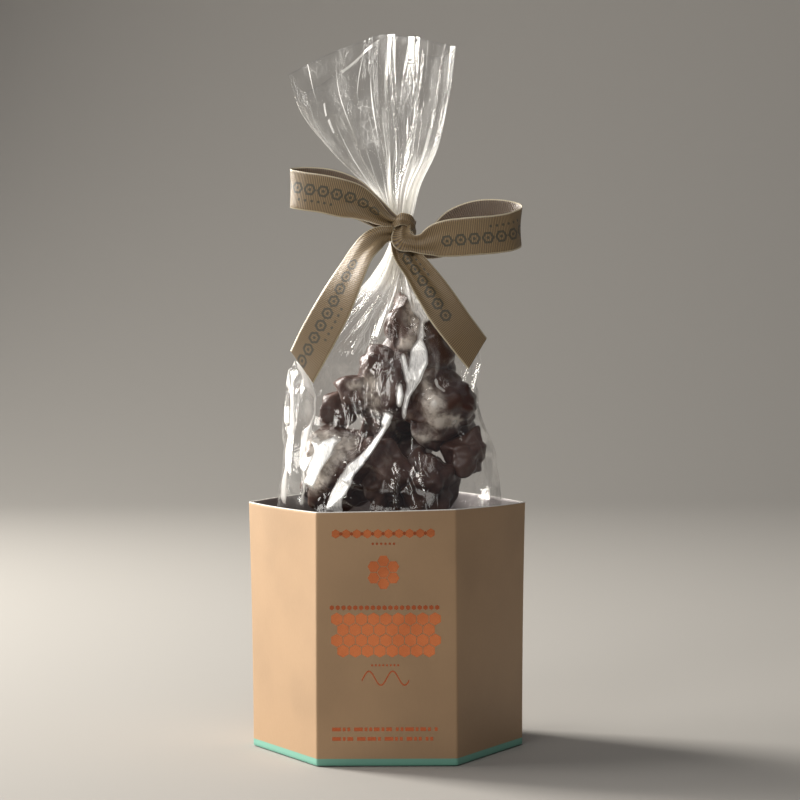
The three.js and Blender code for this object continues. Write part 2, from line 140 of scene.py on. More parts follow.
# Creases of the front film: slope of the left flank, the right flank's width, how strongly the left flank is
# painted white as a highlight, then the crease's points as x, z and the left flank's width there.
CREASES = [
    (0.8, 10, 6, [(-17.5, 97, 6.4), (-16.6, 102.4, 7), (-13, 108.3, 7.2), (-12.6, 109.6, 6.8)]),
    (1.15, 10, 6, [(-13.2, 108, 7), (-11.8, 112, 5.6), (-8.8, 116.2, 4), (-8.2, 117.1, 3.8)]),
    (1.45, 10, 6, [
        (-8.8, 116.2, 4), (-6, 120.4, 3), (-2.2, 126, 1.9), (0.8, 130.4, 1.6), (2, 132.4, 1.2),
    ]),
    (1.5, 3, 6, [(-28, 106, 4.4), (-24.5, 113.5, 5), (-20.5, 120, 5.4), (-18.4, 124.5, 4)]),
    (1.5, 2, 5, [(-31, 112, 3.4), (-28, 118, 3.4), (-25.5, 123, 3)]),
    (1.5, 4, 5, [(-1.5, 130.3, 1.5), (2.1, 133.6, 3.6), (2.4, 134.6, 2)]),
    (1.3, 8, 6, [
        (15.4, 173, 0.8), (15.1, 163, 1.2), (15.1, 158.7, 4.2), (14.9, 154.3, 5), (13.7, 151, 4.5),
        (12.6, 147.6, 3.9), (10.7, 143.7, 2.2), (9.3, 141.4, 1.6), (7.9, 136.4, 1.3), (7.9, 132.6, 1.2),
    ]),
    (1.3, 2, 6, [(7.6, 157.8, 1.4), (9, 152, 1.8), (9.6, 146.5, 1.2)]),
    (1.3, 2, 6, [(6.3, 146, 1.4), (6.6, 141.5, 2.4), (5.8, 137.6, 1.4)]),
    (1.5, 3, 6, [(6.4, 190, 1.4), (10.6, 187, 3), (14.4, 181.1, 5), (16.4, 175, 4.6), (16.2, 170, 1.4)]),
    (1.4, 2, 5, [(-4, 163, 3), (-1.5, 170, 3), (2.8, 180, 2.4), (5.5, 189, 1.6)]),
    (1.3, 5, 3, [
        (-33.6, 155, 2.8), (-28, 144.6, 2.8), (-26.5, 141, 2.6), (-27.4, 134, 2.2), (-29.2, 127.4, 2.8),
        (-31, 121, 2.8), (-32, 98, 2.8),
    ]),
    (1.3, 3.5, 4, [
        (-39, 152, 2.4), (-36.5, 141, 2.4), (-35.5, 130, 2.4), (-38.5, 116, 2.4), (-39.5, 98, 2.4),
    ]),
    (0.7, 5, 0, [(31, 157, 2.4), (33.5, 140, 2.4), (36, 125, 2.4), (38.5, 110, 2.4), (39.5, 98, 2.4)]),
    (0.7, 4, 0, [(26.5, 168, 2), (30, 150, 2), (30.5, 132, 2), (34.5, 112, 2), (35.5, 98, 2)]),
    (2, 1, 1, [(15.7, 166, 0.6), (17.6, 160, 0.6), (18.4, 155, 0.6), (19.1, 150, 0.6), (20.2, 146, 0.6)]),
    (2, 1, 6, [(19.4, 147.6, 0.5), (20.3, 145.2, 0.8), (21.6, 143, 0.6)]),
    (1.8, 1.5, 0.8, [(3.6, 98, 1), (4.6, 107, 1.1), (6.6, 113.6, 0.6)]),
    (1.8, 1.5, 0.8, [(12.4, 98, 1), (10.8, 106, 1.1), (7.2, 113.8, 0.6)]),
]
# Painted glare on the front film, white haze standing in for highlights: centre x and z, half width and
# half height, and strength.
GLARE_SPOTS = [(-25.5, 121.5, 5, 3, 3), (27.6, 130.8, 1, 1, 3), (-31, 133, 2.5, 12, 1.6)]

# Flare: the film above the tie opens like a fan. Its left, right and top edges, as x and z.
FLARE_LEFT = [(-0.4, 212), (-9, 224), (-21, 236.5), (-33.5, 252.7), (-38.5, 268)]
FLARE_RIGHT = [(11.2, 212), (14.2, 223.9), (20.8, 238.2), (25.9, 260.6), (28, 278.9)]
FLARE_TOP = [(-38.5, 268), (-23.1, 276.4), (-5.4, 283.1), (0.8, 284.3), (17.1, 281.9), (28, 278.9)]
FLARE_LENGTH = 72  # length of film from the neck's top to the mouth
FLARE_ROWS = 160
# How far the front film's top edge lies below the back film's, by share of the width from the left.
FRONT_DIP = [
    (0, 0), (0.03, 2), (0.083, 10), (0.17, 11.8), (0.26, 11.2), (0.36, 9.4), (0.42, 7.6), (0.49, 4.4),
    (0.56, 3), (0.62, 2.2), (0.73, 1.5), (0.785, 1.5), (0.8, 6), (0.82, 7.8), (0.916, 6.2), (0.96, 4), (1, 0),
]
# Panels of the front and back film between straight creases that run from the neck to the mouth: share of
# the film's length from the left, x and y at the mouth, and how far the crease bows sideways and outwards.
FRONT_PANELS = [
    (0, -38.5, 0, 0, 0), (0.05, -31, -4.5, -1, 0), (0.12, -21, -7, -3, -1), (0.2, -8, -10, -6, -2),
    (0.235, -5, -7, -1.5, 0), (0.26, -2.2, -9.5, -1.5, -1), (0.29, 1.2, -6.5, -2, 0),
    (0.315, 2.8, -9, -2.5, 0), (0.35, 10, -4, -3.6, 0), (0.43, 13.8, -10.5, 0.4, -0.6),
    (0.46, 14.4, -7, 0, 0), (0.49, 15.6, -9, -0.8, 0), (0.62, 22.3, -4.5, -0.6, 0),
    (0.66, 23.4, -7.5, -0.6, -0.6), (0.8, 26, -3.5, 0, 0), (0.9, 27.2, -2.6, 0, 0), (1, 28, 0, 0, 0),
]
BACK_PANELS = [
    (0, -38.5, 0, 0, 0), (0.07, -31, 5, 0, 0), (0.17, -20, 8, -2, 1), (0.27, -9, 10, -2, 1),
    (0.32, -5, 7, -1, 0), (0.4, 1, 10.5, 0, 0), (0.46, 4, 6.5, 0, 0), (0.55, 9, 10, 0, 0),
    (0.61, 12, 6, 0, 0), (0.7, 17, 7.5, 0, 0), (0.8, 22, 8, 0, 0), (0.9, 26, 7.6, 0, 0),
    (0.97, 27.8, 4.5, 0, 0), (1, 28, 0, 0, 0),
]
# Painted glints, white lines on folds of the front film: share of its length, half width as a share, where
# each begins and ends on the way to the mouth, and strength.
GLINTS = [
    (0.63, 0.012, 0.1, 0.56, 6), (0.66, 0.004, 0.2, 0.52, 6), (0.095, 0.001, 0.78, 0.87, 5),
    (0.1, 0.003, 0.66, 0.76, 5), (0.18, 0.032, 0.975, 1.1, 6), (0.235, 0.02, 0.98, 1.1, 4),
]
GATHER_REACH = 16  # columns to either side over which gathering is measured
GATHER_LIMIT = 6

# Ribbon
RIBBON_WIDTH = 15
RIBBON_THICK = 0.45
RIBBON_EDGE = 0.45  # share of the thickness that its two edges have
RIB_PITCH = 0.7
RIB_RISE = 0.08
WARP_PITCH = 0.42
EDGE_HIGHLIGHT_FROM, EDGE_HIGHLIGHT_TO = 6.9, 7.1  # where the painted edge highlight begins, from the middle
SAMPLES_PER_RIB = 4
RIBBON_ACROSS = 15  # points across the ribbon
# The inner face carries painted shade: the same cloth as the outer face, made darker.
INNER_FACE = 100  # added to the flat width of the inner face, so that the finish can tell the faces apart
# Print on the ribbon, in groups: the step from ring to ring, from dot to dot and from group to group, and
# the length that rings and dots take up in a group.
RING_PITCH = 5.4
DOT_PITCH = 2.7
GROUP_PITCH = 81
RINGS_LONG = 54
DOTS_LONG = 16.2
RING_ROW = -1  # how far each row of the print lies from the ribbon's middle
DOT_ROW = 3.4
# A strand's route: centre x, y, z, the direction of its width x, y, z, and its width where it is crushed.
LEFT_LOOP = [
    (4.8, -12, 208.6, 0.5, 0, 1, 3.6), (1.2, -12.8, 209.5, 0.4, -0.1, 1, 5),
    (-2.2, -13.4, 211.3, 0.32, -0.2, 1, 7.4), (-6.8, -14.3, 214.5, 0.22, -0.15, 1, 11),
    (-12, -15.5, 217.2, 0.12, -0.12, 1, 13.8), (-17.5, -16.4, 218.6, 0.08, -0.1, 1, 15),
    (-24.5, -16.2, 220.2, 0.02, -0.05, 1, 15), (-32.5, -14.2, 221.4, 0, 0, 1, 15),
    (-37, -10.4, 222.5, 0, 0, 1, 15), (-36.3, -6, 223.3, 0, 0.02, 1, 15),
    (-30.5, -3.6, 223.7, 0, 0.04, 1, 15), (-22, -3.2, 222.8, 0.05, 0.04, 1, 15),
    (-13.5, -5, 219.3, 0.15, 0, 1, 15), (-6, -7.4, 214.4, 0.25, -0.05, 1, 12),
    (0.4, -8.8, 209.6, 0.3, 0, 1, 9), (4.8, -9.4, 206.6, 0.3, 0, 1, 7.5),
]
RIGHT_LOOP = [
    (7.6, -8.8, 209.6, 1, 0, 0.1, 4.5), (7.3, -12.6, 208, 1, 0, 0.15, 5.2),
    (6.5, -14.7, 205.2, 0.97, 0, 0.25, 7.5), (7, -15.7, 202.2, 0.9, 0, 0.45, 9.3),
    (10.4, -16.2, 200.8, 0.5, 0, 0.87, 6.8), (14.4, -16.5, 200.6, 0.2, -0.1, 0.98, 8.4),
    (19, -17, 201.7, 0.1, -0.2, 1, 12.8), (24, -18, 202.6, -0.05, -0.15, 1, 14.6),
    (29.5, -18.8, 203.1, 0, -0.1, 1, 15), (36, -19.2, 203.6, 0, -0.05, 1, 15),
    (42.5, -18.2, 204.1, 0.02, 0, 1, 15), (49.6, -14.8, 205.3, 0.03, 0.05, 1, 15),
    (52.9, -9.4, 207.2, 0.03, 0.1, 1, 15), (51, -4.1, 209.2, 0, 0.15, 1, 15),
    (45, -1, 210.8, 0, 0.2, 1, 15), (37, 0.4, 210.7, -0.05, 0.2, 1, 15),
    (29, -0.6, 207.8, -0.12, 0.2, 1, 15), (22, -3.6, 202, -0.2, 0.15, 1, 13.5),
    (15.6, -6, 199, -0.2, 0.1, 1, 8.5), (9, -7.4, 200.4, -0.1, 0, 1, 6),
]
LEFT_TAIL = [
    (5, -12.2, 204.6, 0.3, 0, 1, 6), (0.8, -14.6, 204.4, 0.1, -0.1, 1, 6.4),
    (-3.8, -16.6, 202.9, -0.2, 0.5, 0.85, 9.4), (-9.3, -20, 197.2, -0.52, 0.82, 0.5, 13.6),
    (-13.8, -22.4, 189, -0.68, 0.66, 0.4, 14.6), (-20, -23.4, 176.6, -0.81, 0.36, 0.47, 15),
    (-26.2, -22.8, 165.2, -0.87, 0.25, 0.5, 15), (-32.9, -20.9, 152.7, -0.86, 0.4, 0.5, 15),
]
RIGHT_TAIL = [
    (6.2, -10.5, 201.5, 1, 0, -0.1, 9), (8, -14.6, 196.4, 0.97, 0.05, 0.05, 10.6),
    (12.2, -18, 190.6, 0.88, 0.15, 0.4, 11.2), (17.4, -20.6, 183, 0.82, 0.3, 0.48, 13.6),
    (23, -21.9, 174.6, 0.8, 0.36, 0.5, 15), (28.8, -21.4, 166.6, 0.78, 0.42, 0.5, 15),
    (35.8, -18.8, 157.6, 0.76, 0.5, 0.5, 15),
]
KNOT_FOLD = [
    (2.6, -10, 206.8, 0.5, 0.1, 0.85, 5), (3.6, -12.8, 208.9, 0.5, 0.1, 0.85, 4.8),
    (6.2, -14.4, 210.4, 0.4, 0.1, 0.9, 4.8), (9, -14, 209.9, 0.25, 0.1, 0.95, 4.6),
    (10.8, -12, 208, 0.1, 0.1, 1, 4.4), (10.8, -9.6, 206.4, 0, 0.1, 1, 4.4),
]
LEFT_CUT = -3.1  # how far one corner of a tail's slanting end runs past the middle
RIGHT_CUT = -1.7
CUT_RUN = 11  # length over which the slant grows
COLLAR = {"r": 5.7, "width": 8, "z": 206}  # the turn of ribbon round the neck
KNOT_HEART = {"at": (6.9, -10.2, 204), "half": (4, 4, 5)}  # the crushed ribbon inside the knot

# Toffee: centre x, y, z, half sizes, lean about Y in degrees, and seed.
TOP_TOFFEE = [
    (6.7, -4, 168.5, 8, 9, 12.5, 0, 11), (18.5, -4, 156, 8.5, 12, 20, -26, 12),
    (-1.2, -11, 146, 13, 12, 15, 0, 13), (-12, -13, 143, 9, 8.5, 8.5, 20, 14),
    (-19, -6, 134, 7.6, 8, 8, 0, 15), (19, -10, 134.5, 16.5, 14, 18, -10, 16),
    (31, -13, 119, 8, 9, 9.5, 0, 17), (9, 1, 153, 12, 11, 13, 0, 18),
]
RIM_TOFFEE = [
    (-17, -18, 111, 16, 13, 16, 14, 21), (0, -19, 106, 15, 12, 17, 4, 22), (15, -19, 105, 13, 12, 17, 0, 23),
    (-8, 14, 110, 15, 13, 14, 0, 24), (14, 14, 126, 13, 12, 15, 10, 25), (-24, 6, 104, 10, 12, 9, 0, 26),
    (14, 12, 102, 12, 12, 12, 0, 27), (0, 8, 133, 12, 11, 14, -12, 28),
]
# Pale patches on the toffee's front, painted highlights where light glares through the film, partly pale
# bloom: centre x and z, half width and half height, and strength.
BLOOM_AND_GLARE_PATCHES = [
    (10.8, 172.5, 3.8, 7, 0.95), (8.5, 161, 4, 3, 1), (-6.1, 146.9, 3.6, 4, 1), (-5.6, 138.9, 4, 4.6, 0.95),
    (-13, 145.7, 2.8, 2.4, 0.85), (0.7, 134.3, 4.6, 1.8, 0.5), (15.9, 146.8, 2.4, 4, 0.6),
    (18.5, 138.6, 4.4, 4.8, 1.1), (20.2, 131.5, 5.4, 3.4, 1), (26.5, 131, 3.4, 2.6, 1.1),
    (13, 124.5, 7, 3.2, 0.85), (-24, 120.6, 8, 6.5, 1.35), (-14.1, 122.1, 3.6, 3.6, 0.7),
    (-26.7, 110.9, 4.2, 7.5, 0.9),
]
# Layers of chunks inside the carton: height and half height, then how far out the outer six stand.
HIDDEN_LAYERS = [(15, 12), (38, 12), (60, 12), (79, 9.5)]
HIDDEN_RING = 27.5
BROKEN_FACES = 11  # flat faces of a chunk
FACE_EDGE = 13  # how sharply they meet
PITS = 14  # pits and bumps on each chunk

# Colours, as sRGB
KRAFT = (186, 153, 118)
MINT = (120, 178, 158)
LINING = (136, 129, 128)
BOARD_CORE = (238, 234, 226)
COPPER = (250, 150, 98)
COPPER_LIGHT = (205, 112, 74)
COPPER_WORN = (196, 104, 68)
RIBBON_KHAKI = (172, 144, 98)
# Painted shade in the ribbon's grooves, between its ribs and between its warp threads
RIBBON_GROOVE_SHADE = (68, 47, 25)
# Painted highlight along the ribbon's edges
RIBBON_EDGE_HIGHLIGHT = (220, 206, 174)
# Painted shade on the ribbon's inner face
RIBBON_INNER_SHADE = (80, 54, 32)
RIBBON_INK = (45, 50, 38)
CHOCOLATE = (68, 36, 24)
CHOCOLATE_BLOOM = (130, 98, 78)
# Pale colour of the painted highlights on the toffee, partly pale bloom
CHOCOLATE_PALE_GLARE = (222, 211, 199)
FILM_WHITE = (250, 249, 246)
STAGE = (160, 156, 150)


# Maths

def ramp(low, high, x):
    """Smooth step: 0 below low, 1 above high, 3t^2 - 2t^3 between."""
    t = np.clip((x - low) / (high - low), 0, 1)
    return t * t * (3 - 2 * t)


def mix(a, b, t):
    """a where t is 0, b where it is 1, and a straight line between."""
    return a + (b - a) * t


def unit(v):
    """Vectors brought to length 1."""
    return v / np.maximum(np.linalg.norm(v, axis=-1, keepdims=True), 1e-12)


def hermite(t, start, end, start_slope, end_slope):
    """Cubic Hermite curve: at t from 0 to 1, from start to end with the given slopes there."""
    return (
        (2 * t**3 - 3 * t**2 + 1) * start + (t**3 - 2 * t**2 + t) * start_slope
        + (3 * t**2 - 2 * t**3) * end + (t**3 - t**2) * end_slope
    )


def table(rows, keys):
    """Smooth curve through rows by their first column, with the slope at each row that of the chord between
    its neighbours. Keys outside the table take its end rows."""
    rows, keys = np.array(rows, float), np.asarray(keys, float)
    last = len(rows) - 1
    i = np.clip(np.searchsorted(rows[:, 0], keys, side="right"), 1, last)
    a, b = rows[i - 1], rows[i]
    before, after = rows[np.maximum(i - 2, 0)], rows[np.minimum(i + 1, last)]
    span = b[..., :1] - a[..., :1]
    t = np.clip((keys[..., None] - a[..., :1]) / span, 0, 1)
    slope_a = (b - before) / np.maximum(b[..., :1] - before[..., :1], 1e-6) * span
    slope_b = (after - a) / np.maximum(after[..., :1] - a[..., :1], 1e-6) * span
    return hermite(t, a, b, slope_a, slope_b)


def curve(points, t):
    """Centripetal Catmull-Rom curve through points at t from 0 to 1, equal steps of t from point to point."""
    points = np.array(points, float)
    padded = np.vstack([2 * points[0] - points[1], points, 2 * points[-1] - points[-2]])
    place = np.clip(t, 0, 1) * (len(points) - 1)
    i = np.clip(np.floor(place).astype(int), 0, len(points) - 2)
    a, b, c, d = (padded[i + k] for k in range(4))

    def gap(p, q):
        return np.maximum(np.linalg.norm(q - p, axis=1) ** 0.5, 1e-4)[:, None]

    ab, bc, cd = gap(a, b), gap(b, c), gap(c, d)
    start = ((b - a) / ab - (c - a) / (ab + bc) + (c - b) / bc) * bc
    end = ((c - b) / bc - (d - b) / (bc + cd) + (d - c) / cd) * bc
    return hermite((place - i)[:, None], b, c, start, end)


def evenly(points, shares):
    """Points at the given shares of a curve's length, the t of each, and the length."""
    t = np.linspace(0, 1, 4001)
    steps = np.linalg.norm(np.diff(curve(points, t), axis=0), axis=1)
    run = np.concatenate([[0], np.cumsum(steps)])
    at = np.interp(np.asarray(shares) * run[-1], run, t)
    return curve(points, at), at, run[-1]


def facets(u, v, seed, around):
    """Random heights from -1 to 1 at the corners of a net of triangles with unit cells, flat in each
    triangle, as film creases when it is crumpled. u repeats after the number of cells given as around."""
    tall = 64
    heights = np.random.default_rng(seed).uniform(-1, 1, (around, tall))
    i, j = np.floor(u).astype(int), np.floor(v).astype(int)
    a, b = u - i, v - j
    turned = (i + j) % 2 == 1
    near, far = np.where(turned, i + 1, i) % around, np.where(turned, i, i + 1) % around
    a = np.where(turned, 1 - a, a)
    low, high = j % tall, (j + 1) % tall
    near_low, near_high = heights[near, low], heights[near, high]
    far_low, far_high = heights[far, low], heights[far, high]
    under = near_low + a * (far_low - near_low) + b * (far_high - far_low)
    over = near_low + b * (near_high - near_low) + a * (far_high - near_high)
    return np.where(a > b, under, over)


def crumpled(s, up, sway, sizes):
    """Facets of several sizes, added up. s is the share of the way round the bag, up the height in mm, and
    sway how many cells those that sway are shifted by."""
    return sum(
        rise * facets(s * around + swayed * sway, up / tall, seed, around)
        for around, tall, seed, rise, swayed in sizes
    )


def ripples(points, seed, sizes):
    """Sum of plane sine waves in random directions. sizes is a list of wavelength and height in mm."""
    random = np.random.default_rng(seed)
    total = np.zeros(len(points))
    for length, height in sizes:
        for _ in range(5):
            direction = unit(random.normal(size=3)) * TURN / (length * random.uniform(0.8, 1.3))
            total += height / 2 * np.sin(points @ direction + random.uniform(0, TURN))
    return total


# Meshes

def grid(rows, columns, wrap=False):
    """Quads between neighbouring rows and columns of points. wrap joins the last column to the first."""
    i = np.arange(rows - 1)[:, None] * columns
    j = np.arange(columns if wrap else columns - 1)[None, :]
    k = (j + 1) % columns
    return np.stack([i + j, i + k, i + columns + k, i + columns + j], axis=-1).reshape(-1, 4)


def fan(pole, a, b):
    """Triangles from one point, the pole, to each pair of points a and b, all given by their numbers."""
    return np.stack([np.full(len(a), pole), a, b], axis=-1)


def flat_corners(u, v):
    """The pair u, v at each corner of the quads of a grid whose last column isn't joined to its first."""
    flat = np.stack(np.broadcast_arrays(u, v), axis=-1)
    return np.stack([flat[:-1, :-1], flat[:-1, 1:], flat[1:, 1:], flat[1:, :-1]], axis=2).reshape(-1, 4, 2)


def make_mesh(name, points, faces, materials, uv=None, slots=None, crease=None, amount=None):
    """An object at the origin from points in mm and lists of quads or triangles. uv holds a pair for each
    corner of each face, slots a material number for each face, crease the angle past which an edge stays
    sharp, and amount a number for each point that the material can read."""
    mesh = bpy.data.meshes.new(name)
    sizes = np.concatenate([np.full(len(f), f.shape[1]) for f in faces])
    corners = np.concatenate([f.ravel() for f in faces])
    mesh.vertices.add(len(points))
    mesh.vertices.foreach_set("co", (np.asarray(points) * METRE).astype(np.float32).ravel())
    mesh.loops.add(len(corners))
    mesh.loops.foreach_set("vertex_index", corners.astype(np.int32))
    mesh.polygons.add(len(sizes))
    mesh.polygons.foreach_set("loop_start", np.concatenate([[0], np.cumsum(sizes)[:-1]]).astype(np.int32))
    if slots is not None:
        mesh.polygons.foreach_set("material_index", np.asarray(slots).astype(np.int32))
    if uv is not None:
        layer = mesh.uv_layers.new(name="flat")
        layer.data.foreach_set("uv", np.asarray(uv).astype(np.float32).ravel())
    if amount is not None:
        carried = mesh.attributes.new("amount", "FLOAT", "POINT")
        carried.data.foreach_set("value", np.asarray(amount).astype(np.float32).ravel())
    mesh.update(calc_edges=True)
    mesh.shade_smooth()
    if crease is not None:
        mesh.set_sharp_from_angle(angle=math.radians(crease))
    for material in materials:
        mesh.materials.append(material)
    return link(name, mesh)


def link(name, data):
    """A new object in the scene."""
    made = bpy.data.objects.new(name, data)
    bpy.context.scene.collection.objects.link(made)
    return made


# Materials

def linear(colour, share=1):
    """An sRGB colour of 0 to 255, darkened to a share of itself, as the linear one that shaders take."""
    c = np.array(colour) * share / 255
    return (*np.where(c <= 0.04045, c / 12.92, ((c + 0.055) / 1.055) ** 2.4), 1.0)


def operator(operation):
    """A method that adds a Math node of one operation."""
    return lambda value, *others: value.math(operation, *others)


class Value:
    """A shader socket that Python operators work on: each adds a Math node."""

    def __init__(self, finish, socket):
        self.finish = finish
        self.socket = socket

    def math(self, operation, *others):
        """The Math node of an operation on this value and others."""
        return self.finish.node("ShaderNodeMath", {"operation": operation}, dict(enumerate((self, *others))))

    __add__ = __radd__ = operator("ADD")
    __mul__ = __rmul__ = operator("MULTIPLY")
    __sub__ = operator("SUBTRACT")
    __truediv__ = operator("DIVIDE")
    __pow__ = operator("POWER")
    __abs__ = operator("ABSOLUTE")
    __gt__ = operator("GREATER_THAN")
    __lt__ = operator("LESS_THAN")

    def __rsub__(self, other):
        return (self * -1) + other

    def clamp(self):
        """Kept between 0 and 1."""
        return self.finish.node("ShaderNodeClamp", {}, {"Value": self})

    def wave(self, pitch):
        """A sine of one wavelength each pitch."""
        return (self * (TURN / pitch)).math("SINE")

    def repeated(self, pitch):
        """Distance from the middle of each pitch."""
        return (self / pitch).math("FRACT") * pitch - pitch / 2

    def step(self, low, high):
        """0 below low, 1 above high, smooth between."""
        return self.finish.node(
            "ShaderNodeMapRange", {"interpolation_type": "SMOOTHSTEP"},
            {"Value": self, "From Min": low, "From Max": high},
        )


class Finish:
    """One material. node() adds any node: its settings are set first, then its sockets' values or links."""

    def __init__(self, name):
        self.material = bpy.data.materials.new(name)
        self.material.use_nodes = True
        self.tree = self.material.node_tree
        self.tree.nodes.clear()
        self.output = self.tree.nodes.new("ShaderNodeOutputMaterial")

    def node(self, kind, settings=None, sockets=None, output=0):
        """A node of any type, with its settings and its sockets' values or links."""
        made = self.tree.nodes.new(kind)
        for name, value in (settings or {}).items():
            setattr(made, name, value)
        for name, value in (sockets or {}).items():
            if isinstance(value, Value):
                self.tree.links.new(value.socket, made.inputs[name])
            else:
                made.inputs[name].default_value = value
        return Value(self, made.outputs[output])

    def blend(self, a, b, factor):
        """Colour a where the factor is 0 and b where it is 1."""
        return self.node("ShaderNodeMix", {"data_type": "RGBA"}, {0: factor, 6: a, 7: b}, output=2)

    def place(self):
        """Place on the object, in metres."""
        return self.node("ShaderNodeTexCoord", output="Object")

    def flat(self):
        """The piece's own flat coordinates, in mm."""
        return self.node("ShaderNodeUVMap", {"uv_map": "flat"})

    def amount(self):
        """The number each point of the mesh carries."""
        return self.node("ShaderNodeAttribute", {"attribute_name": "amount"}, output="Fac")

    def axes(self, vector):
        """The three parts of a vector."""
        split = self.tree.nodes.new("ShaderNodeSeparateXYZ")
        self.tree.links.new(vector.socket, split.inputs[0])
        return [Value(self, out) for out in split.outputs]

    def stretched(self, vector, scale):
        """A vector scaled along each axis."""
        return self.node("ShaderNodeMapping", {}, {"Vector": vector, "Scale": scale})

    def noise(self, vector, scale, detail=3, roughness=0.5):
        """Cloudy noise from 0 to 1, round a mean of 0.5."""
        sockets = {"Vector": vector, "Scale": scale, "Detail": detail, "Roughness": roughness}
        return self.node("ShaderNodeTexNoise", {}, sockets)

    def cells(self, vector):
        """Distance to the nearest edge between random cells of unit size."""
        sockets = {"Vector": vector, "Scale": 1.0}
        return self.node("ShaderNodeTexVoronoi", {"feature": "DISTANCE_TO_EDGE"}, sockets)

    def bump(self, height, distance):
        """A normal tilted as if the surface rose by height times distance, in metres."""
        return self.node("ShaderNodeBump", {}, {"Height": height, "Distance": distance})

    def principled(self, **sockets):
        """A Principled shader; names are its sockets with _ for each space."""
        return self.node("ShaderNodeBsdfPrincipled", {}, {k.replace("_", " "): v for k, v in sockets.items()})

    def show(self, shader):
        """Makes a shader the material's surface, and returns the material."""
        self.tree.links.new(shader.socket, self.output.inputs["Surface"])
        return self.material

    def surface(self, **sockets):
        """Makes a Principled shader the material's surface, and returns the material."""
        return self.show(self.principled(**sockets))


def kraft_finish():
    """Matt metallic-gold kraft board with fine upright fibre, and the mint band at its foot."""
    f = Finish("kraft_board")
    place = f.place()
    height = f.axes(place)[2]
    fibre = f.noise(f.stretched(place, (1, 1, 0.35)), 1400, 4, 0.6)
    cloud = f.noise(place, 30, 2)
    kraft = f.blend(linear(KRAFT), linear(KRAFT, 0.93), cloud.step(0.35, 0.7) * 0.7 + fibre * 0.3)
    edge, blur = MINT_BAND * METRE, 0.04 * METRE
    band = 1 - height.step(edge - blur, edge + blur)
    return f.surface(
        Base_Color=f.blend(kraft, linear(MINT), band),
        Roughness=fibre * 0.12 + 0.42,
        Metallic=(1 - band) * 0.25,
        Normal=f.bump(fibre, 0.00003),
    )


def lining_finish():
    """Silvery white inside of the board."""
    f = Finish("board_lining")
    fibre = f.noise(f.place(), 900)
    return f.surface(
        Base_Color=f.blend(linear(LINING), linear(LINING, 0.94), fibre),
        Roughness=0.38, Metallic=0.35, Normal=f.bump(fibre, 0.00003),
    )


def core_finish():
    """The board's cut edge, where its white core shows."""
    f = Finish("board_edge")
    fibre = f.noise(f.place(), 2500)
    return f.surface(
        Base_Color=f.blend(linear(BOARD_CORE), linear(BOARD_CORE, 0.86), fibre.step(0.4, 0.7)),
        Roughness=0.8, Normal=f.bump(fibre, 0.00005),
    )


def foil_finish():
    """Hot-stamped copper foil, brighter on the heavy shapes and uneven where the press bit less."""
    f = Finish("copper_foil")
    place = f.place()
    press = f.noise(place, 700)
    cloud = f.noise(place, 60, 2)
    foil = f.blend(linear(COPPER_LIGHT), linear(COPPER), f.amount())
    return f.surface(
        Base_Color=f.blend(foil, linear(COPPER_WORN), cloud.step(0.42, 0.7) * 0.35),
        Roughness=press * 0.14 + 0.16, Metallic=1.0, Normal=f.bump(press, 0.00002),
    )


def ribbon_finish():
    """Grosgrain: ribs across the ribbon and fine warp threads along it, with painted shade in the grooves
    between them, a painted highlight along each edge, painted shade on the inner face, and a print of small
    hexagon rings with a dot in each, and rows of dots beside them, in groups along its outer face. UV is
    length and width in mm."""
    f = Finish("grosgrain")
    along, width, _ = f.axes(f.flat())
    inner = width > INNER_FACE / 2
    across = width - inner * INNER_FACE
    rib = along.wave(RIB_PITCH) * 0.5 + 0.5
    warp = across.wave(WARP_PITCH) * 0.5 + 0.5
    fuzz = f.noise(f.flat(), 3.5)
    # Painted shade: darker in the grooves between ribs and between warp threads, with random fuzz on top
    light = (rib * 0.75 + warp * 0.1 + fuzz * 0.25).clamp()
    cloth = f.blend(linear(RIBBON_GROOVE_SHADE), linear(RIBBON_KHAKI), light)
    # Painted shade: the inner face made darker, as if it were always in shade
    cloth = f.blend(cloth, linear(RIBBON_INNER_SHADE), inner * 0.65)
    # Painted highlight: a pale line along each edge, where the edge catches the light
    cloth = f.blend(cloth, linear(RIBBON_EDGE_HIGHLIGHT), abs(across).step(EDGE_HIGHLIGHT_FROM, EDGE_HIGHLIGHT_TO) * 0.8)
    # A hexagon is measured by the larger of its flats' distances, so that equal values draw its outline.
    group = f.node("ShaderNodeMath", {"operation": "PINGPONG"}, {0: along, 1: GROUP_PITCH / 2})
    mark, off_row = along.repeated(RING_PITCH), across - RING_ROW
    hexagon = (abs(mark) * SIN_60 + abs(off_row) * 0.5).math("MAXIMUM", abs(off_row))
    ring = hexagon.step(1.3, 1.45) * (1 - hexagon.step(2.15, 2.3))
    seed = 1 - hexagon.step(0.5, 0.65)
    dot_mark, off_dots = along.repeated(DOT_PITCH), across - DOT_ROW
    dot = 1 - (dot_mark * dot_mark + off_dots * off_dots).math("SQRT").step(0.45, 0.65)
    marks = (ring + seed) * (group < RINGS_LONG / 2) + dot * (group < DOTS_LONG / 2)
    printed = marks.clamp() * (1 - inner * 0.75)
    return f.surface(
        Base_Color=f.blend(cloth, linear(RIBBON_INK), printed * (rib * 0.25 + 0.62)),
        Roughness=0.42, Specular_IOR_Level=1.0, Sheen_Weight=0.2, Sheen_Roughness=0.4,
        Normal=f.bump(rib * 0.8 + warp * 0.3, 0.00009),
    )


